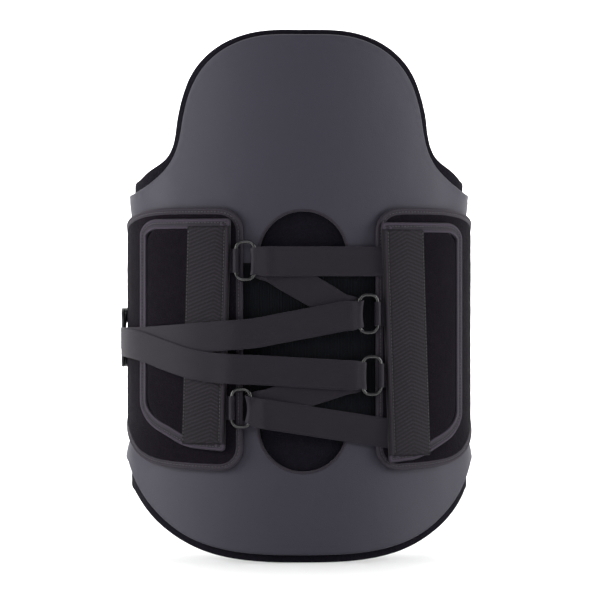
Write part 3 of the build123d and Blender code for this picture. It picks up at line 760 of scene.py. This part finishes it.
WINDOW = stadium(75, 222, 187.5)
LINER, COVER = (0.0, 5.0), (7.0, 10.0)  # each pad's inner and outer distance out
LINER_G, COVER_G = 2.5, 8.5
PANEL_FRONT_Y = 6.0
liner_loop = panel_loop(LINER_TOP, LINER_BOTTOM, LINER_G, PANEL_FRONT_Y)
cover_loop = panel_loop(COVER_TOP, COVER_BOTTOM, COVER_G, PANEL_FRONT_Y)


def bump_at(d, centre, spread):
    """Ridge along an edge, at a distance in from it."""
    return np.exp(-((d - centre) / spread) ** 2)


def liner_lift(q, z, d):
    return 0.25 * waves(q, z, 9.0, 1) + 0.27 * bump_at(d, 4, 3.0)


def liner_drape(q, z, d):
    return 0.35 * waves(q, z, 34.0, 2) * np.exp(-d / 8.0)


def cover_lift(q, z, d):
    window = distance_to(np.stack([q, z], 1), [WINDOW])
    soft = 0.5 * waves(q, z, 70.0, 3, 2) + 0.10 * waves(q, z, 16.0, 4, 2)
    hem = -0.35 * bump_at(d, 4.2, 0.8) + 0.25 * bump_at(d, 2.2, 1.2)
    return np.where(window < d + 0.01, 0, hem) + soft * np.clip(window / 8, 0, 1) * np.clip(d / 12, 0.2, 1)


liner = panel("liner_pad", liner_loop, LINER_G, *LINER, 2.4, M["liner"], 3.2,
              lift=liner_lift, drape=liner_drape)
finish_piece(liner, "liner_fabric", "root", "back_liner", fill=0.7)
cover = panel("cover_shell", cover_loop, COVER_G, *COVER, 1.5, M["cover"], 3.2,
              holes=[WINDOW], lift=cover_lift)
finish_piece(cover, "cover_laminate", "root", "shell_cover", fill=0.8)
hem_ring = np.linspace(0, 2 * math.pi, 13)[:-1]
hem_ring = [(0.8 - 1.5 * math.cos(t), 8.7 + 1.75 * math.sin(t)) for t in hem_ring]
window_rim = sweep_rim("window_rim", turned(WINDOW, False), COVER_G, hem_ring, M["tape"])
finish_piece(window_rim, "binding_tape", "root")

# Elastic bridge between the wings, ribbed up and down, in two halves.
BRIDGE_HALF, BRIDGE_LOW, BRIDGE_HIGH = 72.0, 120.0, 254.0
BRIDGE_G = 10.6
RIB_PITCH = 2.8
for side, name in ((-1, "left"), (1, "right")):
    xs = np.arange(0, BRIDGE_HALF + 0.1, RIB_PITCH / 4)
    zs = np.arange(BRIDGE_LOW, BRIDGE_HIGH + 0.1, 3.35)
    X, Z = np.meshgrid(side * xs, zs)
    rib = 0.22 * np.sqrt(np.abs(np.sin(np.abs(X) * math.pi / RIB_PITCH)))
    edge = np.clip(np.minimum(Z - BRIDGE_LOW, BRIDGE_HIGH - Z) / 3.0, 0, 1)
    top, _ = place(X, Z, BRIDGE_G, 10.5 + 0.35 * edge + rib)
    low, _ = place(X, Z, BRIDGE_G, 10.45 - 0.3 * edge)
    web = slab(f"elastic_web_{name}", top, low, M["elastic"], (X, Z))
    finish_piece(web, "elastic", None, "elastic_bridge")
    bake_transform(web)

# ---------------------------------------------------------------- wings
SIDES = {"left": -1, "right": 1}
WING_EDGE = {"left": 51.0, "right": 62.0}
WING_LOW, WING_HIGH, WING_RIM, WING_CORNER = 77.5, 301.0, 5.0, 20.0
WING_G = 13.2


def belt_curve(points, g, start_q, end_q, inset=0.0):
    """Upper or lower belt edge between two unrolled distances, as (q, z), q positive."""
    curve = spline(points, 2.0)
    q = np.linspace(start_q, end_q, max(4, int((end_q - start_q) / 2.5)))
    z = np.full(len(q), 200.0)
    for _ in range(3):
        y = place(q, z, g, g)[0][:, 1]
        z = np.interp(y, curve[:, 0], curve[:, 1])
    return np.stack([q, z + inset], 1)


def wing_path(edge, g, inset=0.0, until=SEAM_TURN):
    """Open path from the seam's top, back to the lacing edge and round to the seam's bottom."""
    near = edge + inset
    r = WING_CORNER - inset
    upper = bend(near + r, WING_HIGH - inset - r, r, 90, 180)
    lower = bend(near + r, WING_LOW + inset + r, r, 180, 270)
    end_q = float(q_of(until, 200.0, g))
    top = belt_curve(BELT_TOP, g, near + r + 2, end_q, -inset)[::-1]
    bottom = belt_curve(BELT_BOTTOM, g, near + r + 2, end_q, inset)
    return fine(np.concatenate([top, upper, lower, bottom]), 2.5, False)


def napped(fine_size, fine_high, seed, broad_size, broad_high, margin):
    """Surface of a pile pad: its nap, and a soft swell that dies away at the edges."""
    def lift(q, z, d):
        swell = waves(q, z, broad_size, seed + 1, 2) * np.clip(d / margin, 0, 1)
        return fine_high * waves(q, z, fine_size, seed, 3) + broad_high * swell
    return lift


PROFILE_WING = tape_profile(WING_RIM + 1.2, 11.5, 14.95, bead=0.35, groove=3.4)
for name, side in SIDES.items():
    path = wing_path(WING_EDGE[name], WING_G)
    inner = wing_path(WING_EDGE[name], WING_G, WING_RIM - 0.6)
    if side < 0:
        path, inner = path * (-1, 1), inner * (-1, 1)
    wing = panel(f"{name}_wing_pad", fine(turned(inner), 3.0), WING_G, 11.6, 14.6, 1.4, M["pile"], 3.0,
                 lift=napped(5.0, 0.16, 5, 40.0, 0.35, 15))
    finish_piece(wing, "loop_pile", f"{name}_wing", f"{name}_wing", fill=0.7)
    loop_left = path if area_of(path) > 0 else path[::-1]
    rim = sweep_rim(f"{name}_wing_tape", loop_left, WING_G, PROFILE_WING, M["tape"], closed=False)
    finish_piece(rim, "binding_tape", f"{name}_wing", f"{name}_wing_binding")
    row = stitches(f"{name}_wing_stitches", [seam(loop_left, WING_G, 14.75, 3.5, False)], M["thread"])
    finish_piece(row, "binding_tape", f"{name}_wing")

# ---------------------------------------------------------------- lacing flaps and bands
FLAP_TOP = {"left": 292.0, "right": 289.0}
FLAP_BOTTOM = {"left": 94.0, "right": 84.0}
FLAP_EDGE_TOP = {"left": 61.0, "right": 66.0}
FLAP_EDGE_BOTTOM = {"left": 66.0, "right": 72.5}
FLAP_OUTER = 138.0
FLAP_G = 17.2


def lacing_edge(name, z):
    share = (FLAP_TOP[name] - z) / (FLAP_TOP[name] - FLAP_BOTTOM[name])
    return FLAP_EDGE_TOP[name] + share * (FLAP_EDGE_BOTTOM[name] - FLAP_EDGE_TOP[name])


def flap_loop(name, inset=0.0):
    """Flap outline as (q, z) on the right-hand side; the left one is mirrored."""
    top, low, outer = FLAP_TOP[name] - inset, FLAP_BOTTOM[name] + inset, FLAP_OUTER - inset
    corners = [(lacing_edge(name, top) + 0.15, top), (lacing_edge(name, low) + 0.15, low),
               (100, low + 3), (outer, low + 26), (outer, top)]
    loop = rounded(corners, [3, 3, 45, 30, 14])
    q = q_at_x(loop[:, 0], loop[:, 1], FLAP_G)
    loop = np.stack([q, loop[:, 1]], 1)
    return fine(loop, 2.5)


def flap_profile():
    """Bound edge: a rolled rim, a sewn valley, the tape's flat and its raised inner edge."""
    top = [(0, 17.4), (0.25, 18.35), (0.9, 19.0), (1.8, 19.15), (2.7, 18.85), (3.4, 18.35), (4.2, 18.4),
           (5.4, 18.55), (6.4, 18.6), (7.2, 19.0), (7.9, 19.05), (8.5, 18.6), (8.8, 18.0)]
    return top + [(8.6, 16.6), (6.0, 15.95), (2.0, 15.9), (0.5, 16.2)]


for name, side in SIDES.items():
    flip = np.array([side, 1.0])
    outer = flap_loop(name) * flip
    outer = turned(outer)
    pad_loop = turned(fine(flap_loop(name, 6.0) * flip, 3.0))
    flap = panel(f"{name}_flap_pad", pad_loop, FLAP_G, 15.95, 18.5, 1.2, M["pile"], 2.6,
                 lift=napped(4.0, 0.13, 7, 36.0, 0.3, 12))
    finish_piece(flap, "loop_pile", f"{name}_wing", f"{name}_lacing_flap", fill=0.7)
    rim = sweep_rim(f"{name}_flap_tape", outer, FLAP_G, flap_profile(), M["piping"])
    # Painted light on the tape: the higher a point of its top face stands, the more painted highlight it
    # gets (full on the rolled rim and the raised inner edge, least in the sewn valley); the underside gets
    # 0.3.
    ridge = [np.interp(out, [18.3, 19.1], [0, 1]) if out > 18 else 0.3 for _, out in flap_profile()]
    ridge_highlight(rim, np.tile(ridge, len(outer)))
    finish_piece(rim, "binding_tape", f"{name}_wing", f"{name}_flap_binding")
    rows = [seam(outer, FLAP_G, 18.55, 3.5)]

    # Band: slanted ribs that turn back along a spine, sewn down both long edges.
    low, high = FLAP_BOTTOM[name] + 6.0, FLAP_TOP[name] - 6.0
    zs = np.arange(low, high + 0.01, 0.72)
    across = np.concatenate([[0, 0.25, 0.6], np.arange(1.2, 34.4, 0.9), [34.9, 35.25, 35.5]])
    A, Z = np.meshgrid(across, zs)
    Q = side * (np.vectorize(lambda z: lacing_edge(name, z))(Z) + 0.4 + A)
    spine = 11.5 if name == "left" else 20.0
    slant = np.where(A > spine, (A - spine) * 0.42, (spine - A) * 0.55)
    phase = (Z + slant) / 3.3
    tri = np.abs((phase % 1) * 2 - 1)
    rib = np.clip(tri * 1.5 - 0.25, 0, 1)
    broken = 0.5 + 0.5 * np.sin(A * 2 * math.pi / 3.6 + np.floor(phase) * 2.1)
    field = np.clip(np.minimum(A - 4.6, 33.5 - A) / 0.8, 0, 1)
    end = np.clip(np.minimum(Z - low, high - Z) / 1.6, 0, 1) ** 0.5
    brim = np.clip(np.minimum(A, 35.5 - A) / 0.6, 0, 1) ** 0.5
    welt = 0.38 * bump_at(A, 2.1, 1.3) - 0.3 * bump_at(A, 4.2, 0.5) + 0.18 * bump_at(A, 34.5, 0.6)
    out = 18.6 + (2.5 + field * rib * (0.22 + 0.16 * broken) + welt) * end * brim
    top, _ = place(Q, Z, FLAP_G, out)
    low_face, _ = place(Q, Z, FLAP_G, 0 * Z + 18.3)
    # Painted light on the band: its raised ribs and welt painted lighter as highlights, its grooves darker
    # as shade; the underside gets none.
    rib_highlight = field * rib * (0.55 + 0.45 * broken) + bump_at(A, 2.1, 1.3) * 0.8 * (1 - field)
    band = slab(f"{name}_herringbone_band", top, low_face, M["band"], (A, Z))
    ridge_highlight(band, np.concatenate([np.ravel(rib_highlight), np.zeros(rib_highlight.size)]))
    finish_piece(band, "herringbone_band", f"{name}_wing", f"{name}_webbing_band")
    for inset in (4.2, 34.1):
        zz = np.arange(low + 1.5, high - 1.0, 1.5)
        qq = side * (np.array([lacing_edge(name, z) for z in zz]) + 0.4 + inset)
        rows.append(place(qq, zz, FLAP_G, 21.1))
    row = stitches(f"{name}_flap_stitches", rows, M["thread"], pitch=2.9, long=2.1)
    finish_piece(row, "binding_tape", f"{name}_wing")

# ---------------------------------------------------------------- rings and tabs
RINGS = {"left_upper": (-49.3, 256.0), "left_lower": (-52.8, 131.0),
         "right_upper": (55.5, 211.0), "right_lower": (58.4, 158.5)}
RING_H, WIRE, BAR = 18.3, 1.5, 8.0
STRAP, STRAP_WIDTH = 1.4, 25.0
LOOP_R = WIRE + 0.05 + STRAP / 2
ring_frame = {}
for ring_name, (x, z) in RINGS.items():
    side = 1 if x > 0 else -1
    centre, out = place(x, z, RING_H, RING_H)
    to_flap = np.array([-out[1], out[0], 0]) * side
    ring_frame[ring_name] = (centre, to_flap, out, side)
    loop = rounded([(BAR, -16.0), (BAR, 16.0), (-BAR, 16.0), (-BAR, -16.0)], [6.0] * 4, 1.6)
    points = np.array([centre + to_flap * a + np.array([0, 0, b]) for a, b in loop])
    ring = tube(f"{ring_name}_slide_ring", points, out, 1.55, M["gloss"])
    finish_piece(ring, "ring_gloss", f"{ring_name}_ring", f"{ring_name}_ring")
    arc = [(BAR + 2.35 * math.sin(t), 2.35 * -math.cos(t)) for t in np.linspace(0, -1.55 * math.pi, 26)]
    route = [(26.0, -3.0), (18.0, -3.0), (13.5, -2.9)] + arc + [(11.6, -2.0), (14.5, -2.35), (26.0, -2.4)]
    route = path3([(a, b, 0) for a, b in route], 0.6)
    centre_line = np.array([centre + to_flap * a + out * b for a, b, _ in route])
    normal = np.gradient(route[:, :2], axis=0)
    normal = np.array([out * n[0] - to_flap * n[1] for n in normal]) * -1
    tab_frame = ribbon_frame(centre_line, normal, 20.0)
    tab = ribbon_piece(f"{ring_name}_tab_loop", tab_frame, 0, len(centre_line) - 1, thick=0.9)
    finish_piece(tab, "webbing", f"{'left' if side < 0 else 'right'}_wing", f"{ring_name}_ring_tab")

# ---------------------------------------------------------------- lacing straps
FRONT_H = RING_H + LOOP_R
BACK_H = RING_H - LOOP_R
LACES = {
    "upper": {"left": "left_upper", "right": "right_upper",
              "sewn": (69.0, 255.5, 17.3), "sewn_z": 255.5, "lift": 1.2,
              "return_z": (251.0, 214.5), "return_h": 0.2, "pull": (209.0, 194.5), "tail_lift": 0.0},
    "lower": {"left": "left_lower", "right": "right_lower",
              "sewn": (74.0, 109.0, 17.3), "sewn_z": 126.0, "lift": 1.2,
              "return_z": (134.0, 155.5), "return_h": 0.8, "pull": (159.0, 163.5), "tail_lift": 1.7},
}
TAIL_RISE = [(-42.0, 20.55), (-58.0, 23.0), (-78.0, 23.1), (-97.0, 22.9), (-116.0, 20.9)]
TAIL_WRAP = [(38, 19.6), (24, 18.4), (12, 17.7), (4, 17.7), (-3, 17.7)]
TAIL_LEVELS = {
    "upper": [(-42, 194.5), (-75, 191.8), (-105, 189.5), (-135, 187.0), (-165, 186.0)],
    "lower": [(-42, 163.5), (-75, 165.2), (-105, 171.0), (-135, 182.0), (-165, 188.0)],
}
RUN_START = 20.5  # a ring's run begins this far in from the ring
STRAP_STEP = 0.9


def at_x(x, z, h):
    """Point at x and height z, a distance h out."""
    point, _ = place(x, z, h, h)
    return np.array([x, float(point[1]), z])


def turn_keys(ring_name, front, back, outward_first):
    """Keys round a ring's inner bar between a front run and a run beneath; each is (point, width)."""
    centre, to_flap, out, side = ring_frame[ring_name]
    ring_z = RINGS[ring_name][1]
    spot = lambda a, b, z: centre + to_flap * a + out * b + np.array([0, 0, z - ring_z])
    keys = [(spot(-14.5, LOOP_R + 0.3, ring_z + (front[2] - ring_z) * 0.75), 24.4),
            (spot(-11.0, LOOP_R + 0.05, ring_z + (front[2] - ring_z) * 0.45), 23.2)]
    for t in np.linspace(0, math.pi, 9):
        mix = (front[2] - ring_z) * 0.3 * (1 - t / math.pi) + (back[2] - ring_z) * 0.3 * t / math.pi
        keys.append((spot(-BAR + LOOP_R * math.sin(t), LOOP_R * math.cos(t), ring_z + mix), 22.6))
    keys += [(spot(-11.0, -LOOP_R - 0.05, ring_z + (back[2] - ring_z) * 0.45), 23.2),
             (spot(-14.5, -LOOP_R - 0.2, ring_z + (back[2] - ring_z) * 0.75), 24.4)]
    return keys if outward_first else keys[::-1]


def straight(a, b, shares):
    return [(a + (b - a) * t, STRAP_WIDTH) for t in shares]


for lace_name, d in LACES.items():
    left_x = RINGS[d["left"]][0] + RUN_START
    right_x = RINGS[d["right"]][0] - RUN_START
    sewn = at_x(*d["sewn"])
    sewn_left = at_x(left_x, d["sewn_z"], FRONT_H + d["lift"])
    back_left = at_x(left_x, d["return_z"][0], BACK_H + d["return_h"])
    back_right = at_x(right_x, d["return_z"][1], BACK_H + d["return_h"])
    pull_right = at_x(right_x, d["pull"][0], FRONT_H)
    pull_left = at_x(-42.0, d["pull"][1], 20.55)
    levels = spline(TAIL_LEVELS[lace_name], 1.0)
    level_at = lambda x: float(np.interp(-x, -levels[:, 0], levels[:, 1]))
    keys, marks = [], {}

    def add_keys(new, mark=None):
        keys.extend(new)
        if mark:
            marks[mark] = len(keys) - 1

    def add_run(a, b, first, last):
        """Straight run with keys at its ends, its quarters and where it crosses the middle."""
        zero = -a[0] / (b[0] - a[0])
        add_keys([(a, STRAP_WIDTH)], first)
        add_keys(straight(a, b, [zero * 0.5]))
        add_keys(straight(a, b, [zero]), last + "_middle")
        add_keys(straight(a, b, [zero + (1 - zero) * 0.5]))
        add_keys([(b, STRAP_WIDTH)], last)

    add_run(sewn, sewn_left, "start", "sewn")
    add_keys(turn_keys(d["left"], sewn_left, back_left, True))
    add_run(back_left, back_right, "left_out", "return")
    add_keys(turn_keys(d["right"], pull_right, back_right, False))
    add_run(pull_right, pull_left, "right_out", "pull")
    for x, h in TAIL_RISE[1:]:
        up = d["tail_lift"] * float(np.interp(-x, [42, 60], [0, 1]))
        add_keys([(at_x(x, level_at(x), h + up), STRAP_WIDTH)])
    for angle, h in TAIL_WRAP:
        turn = math.radians(90 - angle)
        reach = SIDE_RADIUS + h + d["tail_lift"]
        x = -(SIDE_CENTRE + reach * math.sin(turn))
        add_keys([(np.array([x, -reach * math.cos(turn), level_at(x)]), STRAP_WIDTH)])
    marks["end"] = len(keys) - 1
    key_array = np.array([list(p) + [w] for p, w in keys])
    key_along = run(key_array[:, :3])
    line = path3(key_array, STRAP_STEP)
    spots = np.linspace(0, key_along[-1], len(line))
    for _ in range(2):  # takes the last kinks out of the run-in to each turn
        line[1:-1] = (line[:-2] + 2 * line[1:-1] + line[2:]) / 4
    cut = {name: int(np.argmin(np.abs(spots - key_along[i]))) for name, i in marks.items()}
    tangent = np.gradient(line[:, :3], axis=0)
    facing = np.cross(tangent, (0, 0, 1.0))
    lace_frame = ribbon_frame(line[:, :3], facing, line[:, 3])
    spans = {"left": ((-0.003, -0.1, 0.19), ((left_x + 2.0) * MM, -0.1, 0.19)),
             "right": ((0.003, -0.1, 0.19), ((right_x - 2.0) * MM, -0.1, 0.19))}

    def over_run(side):
        """Bodies and span of a run between the middle and one wing."""
        return ("root", f"{side}_wing"), spans[side]

    def over_turn(side):
        """Bodies and span of the strap round one ring's inner bar."""
        centre, to_flap, out, _ = ring_frame[d[side]]
        ends = [tuple((centre - to_flap * a) * MM) for a in (19.5, 10.5)]
        return (f"{side}_wing", d[side] + "_ring"), ends

    tail_bodies = ("left_wing", "handle"), ((-0.15, -0.036, 0.19), (-0.15, -0.006, 0.19))
    for piece, first, last, (pair, span), node in (
        ("sewn_run_right", "start", "sewn_middle", over_run("right"), f"{lace_name}_lace_sewn_run"),
        ("sewn_run_left", "sewn_middle", "sewn", over_run("left"), f"{lace_name}_lace_sewn_run"),
        ("left_turn", "sewn", "left_out", over_turn("left"), d["left"] + "_strap_bight"),
        ("return_run_left", "left_out", "return_middle", over_run("left"), f"{lace_name}_lace_return_run"),
        ("return_run_right", "return_middle", "return", over_run("right"), f"{lace_name}_lace_return_run"),
        ("right_turn", "return", "right_out", over_turn("right"), d["right"] + "_strap_bight"),
        ("pull_run_right", "right_out", "pull_middle", over_run("right"), f"{lace_name}_lace_pull_run"),
        ("pull_run_left", "pull_middle", "pull", over_run("left"), f"{lace_name}_lace_pull_run"),
        ("tail", "pull", "end", tail_bodies, f"{lace_name}_pull_tail"),
    ):
        strap = ribbon_piece(f"{lace_name}_{piece}", lace_frame, cut[first], cut[last])
        finish_piece(strap, "webbing", None, node)
        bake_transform(strap)
    # Thread across the strap where it is sewn in under the right flap.
    rows = []
    for gap in (2.6, 5.0):
        i = int(np.argmin(np.abs(line[: cut["sewn_middle"], 0] - lacing_edge("right", d["sewn_z"]) + gap)))
        shifts = np.linspace(-10.8, 10.8, 14)[:, None]
        up = np.repeat(lace_frame[1][i][None], 14, 0)
        rows.append((lace_frame[0][i] + lace_frame[2][i] * shifts + up * 0.8, up))
    row = stitches(f"{lace_name}_sewn_stitches", rows, M["thread"], pitch=2.6, long=1.9)
    finish_piece(row, "webbing", "right_wing")

# ---------------------------------------------------------------- pull handle
HANDLE_G = 18.3
HANDLE_LEVEL = 190.0


def flank_q(y, g):
    return float(q_at_y(y, HANDLE_LEVEL, g))


q0, q1 = flank_q(-12.0, HANDLE_G), flank_q(62.0, HANDLE_G)
grip = rounded([(-q1, 164), (-q0, 164), (-q0, 216), (-q1, 216)], [14.0] * 4)
f0, f1 = flank_q(12.0, HANDLE_G), flank_q(52.0, HANDLE_G)
hole = rounded([(-f1, 176.5), (-f0, 176.5), (-f0, 203.5), (-f1, 203.5)], [13.0] * 4)
handle = panel("grip_plate", grip, HANDLE_G, 16.9, 19.75, 1.35, M["handle"], 2.4, holes=[hole],
               lift=lambda q, z, d: 0.35 * np.exp(-((d - 3.0) / 1.4) ** 2))
finish_piece(handle, "handle_plastic", "handle", "pull_handle")
rows = []
for level, h in ((181.0, 20.3), (197.0, 20.3)):
    qq = np.linspace(-flank_q(-4.0, 20.0), -flank_q(6.0, 20.0), 12)
    rows.append(place(qq, 0 * qq + level, 20.0, 0 * qq + h))
for y in (-5.0, 4.0):
    zz = np.linspace(179, 199, 14)
    rows.append(place(0 * zz - flank_q(y, 20.0), zz, 20.0, 0 * zz + 20.3))
row = stitches("handle_stitches", rows, M["thread"], pitch=2.4, long=1.8)
finish_piece(row, "webbing", "handle")

# ---------------------------------------------------------------- front belts
BELT_CORNER = 24.0
for name, side, span, start_gap, tip_x in (
    ("left", -1, (6.8, 9.8), 8.3, -2.0),
    ("right", 1, (11.6, 14.8), 0.3, -65.0),
):
    low, high = span
    g = (low + high) / 2
    start_turn = SEAM_TURN + start_gap / (SIDE_RADIUS + g)
    reach = side * tip_x  # negative once the belt has crossed the middle
    end_turn = math.pi - math.asin(np.clip(reach / (FRONT_RADIUS + g), -1, 1))
    end_q = float(q_of(end_turn, 200.0, g))
    start_q = float(q_of(start_turn, 200.0, g))
    top = belt_curve(BELT_TOP, g, start_q + 1, end_q)
    bottom = belt_curve(BELT_BOTTOM, g, start_q + 1, end_q)
    r = BELT_CORNER
    high_z, low_z = top[-1, 1], bottom[-1, 1]
    top, bottom = top[top[:, 0] < end_q - r], bottom[bottom[:, 0] < end_q - r]
    upper = bend(end_q - r, high_z - r, r, 90, 0)
    lower = bend(end_q - r, low_z + r, r, 0, -90)
    start_top, start_bottom = [(start_q, top[0, 1])], [(start_q, bottom[0, 1])]
    edge = np.concatenate([start_top, top, upper, lower, bottom[::-1], start_bottom]) * (side, 1)
    loop, open_path = turned(fine(edge, 3.0)), fine(edge, 2.5, False)
    belt = panel(f"{name}_belt_pad", loop, g, low + 0.05, high - 0.1, 1.4, M["pile"], 3.2,
                 lift=lambda q, z, d: 0.15 * waves(q, z, 5.0, 9, 3) * (1 if name == "right" else 0.3))
    finish_piece(belt, "loop_pile", f"{name}_front", f"{name}_front_belt", fill=0.7)
    if area_of(open_path) < 0:
        open_path = open_path[::-1]
    profile = tape_profile(WING_RIM + 0.6, low - 0.05, high + 0.2, bead=0.1, groove=3.4)
    rim = sweep_rim(f"{name}_belt_tape", open_path, g, profile, M["tape"], closed=False)
    finish_piece(rim, "binding_tape", f"{name}_front", f"{name}_front_binding")
    row = stitches(f"{name}_belt_stitches", [seam(open_path, g, high + 0.05, 3.5, False)], M["thread"])
    finish_piece(row, "binding_tape", f"{name}_front")

# Tape over the left seam.
seam_g = 10.8
s0 = float(q_of(SEAM_TURN + 0.3 / (SIDE_RADIUS + seam_g), 200.0, seam_g))
s1 = s0 + 8.0
zt = float(np.interp(66.0, *np.array(spline(BELT_TOP)).T))
zb = float(np.interp(66.0, *np.array(spline(BELT_BOTTOM)).T))
tape_loop = rounded([(-s1, zb), (-s0, zb), (-s0, zt), (-s1, zt)], [2.0] * 4, 3.0)
tape = panel("seam_cover_tape", tape_loop, seam_g, 6.8, 14.8, 2.0, M["tape"], 2.2)
finish_piece(tape, "binding_tape", "left_front", "left_seam_tape")
rows = [np.array([(-s0 - k, zb + 4), (-s0 - k, zt - 4)]) for k in (1.8, 6.2)]
rows = [seam(path, seam_g, 14.85, 0, False) for path in rows]
row = stitches("seam_tape_stitches", rows, M["thread"])
finish_piece(row, "binding_tape", "left_front")

# ---------------------------------------------------------------- stage, lights and camera
def pale(name, value):
    mat = bpy.data.materials.new(name)
    mat.use_nodes = True
    bsdf = mat.node_tree.nodes["Principled BSDF"]
    bsdf.inputs["Base Color"].default_value = (value, value, value, 1)
    bsdf.inputs["Roughness"].default_value = 0.9
    return mat


cove = [(-9.0, 0.0)] + bend(7.0, 1.5, 1.5, -90, 0, 24) + [(8.5, 7.0)]
FLOOR_DROP = 0.4  # mm below the part, so the two never touch
COVE_HALF = 12.0  # m
verts = [(x * 1000, y * 1000, z * 1000 - FLOOR_DROP) for x in (-COVE_HALF, COVE_HALF) for y, z in cove]
faces = [(i, i + 1, len(cove) + i + 1, len(cove) + i) for i in range(len(cove) - 1)]
floor = make("studio_floor", verts, faces, pale("studio_white", 0.9))

world = bpy.data.worlds.new("studio")
bpy.context.scene.world = world
world.use_nodes = True
sky = world.node_tree.nodes["Background"]
sky.inputs["Color"].default_value = (0.98, 0.99, 1.0, 1)
sky.inputs["Strength"].default_value = 0.32


def light(name, place_m, aim, size, power):
    data = bpy.data.lights.new(name, "AREA")
    data.shape = "RECTANGLE"
    data.size, data.size_y = size
    data.energy = power
    obj = bpy.data.objects.new(name, data)
    obj.location = place_m
    obj.rotation_euler = (Vector(aim) - Vector(place_m)).to_track_quat("-Z", "Y").to_euler()
    bpy.context.scene.collection.objects.link(obj)


light("side_left", (-2.0, -0.4, 0.5), (0, 0, 0.2), (1.0, 1.6), 56)
light("side_right", (2.0, -0.4, 0.6), (0, 0, 0.2), (1.0, 1.6), 48)
light("key", (-0.5, -2.4, 1.7), (0, 0, 0.2), (1.6, 1.0), 20)
light("backdrop", (0, 5.0, 4.5), (0, 8.0, 0.8), (9.0, 2.0), 900)
light("ground", (0, 2.4, 3.6), (0, 3.0, 0), (5.0, 3.0), 220)

bpy.context.scene.view_settings.view_transform = "Standard"

CAMERA_RANGE = 3.0
CAMERA_TURN = math.radians(-2.0)
data = bpy.data.cameras.new("view")
data.lens = 206.5
data.sensor_width = 36
data.clip_end = 50
camera = bpy.data.objects.new("view", data)
aim = Vector((0, -0.02, 0.2227))
camera.location = aim + CAMERA_RANGE * Vector((math.sin(CAMERA_TURN), -math.cos(CAMERA_TURN), 0))
camera.rotation_euler = (aim - camera.location).to_track_quat("-Z", "Y").to_euler()
bpy.context.scene.collection.objects.link(camera)
bpy.context.scene.camera = camera
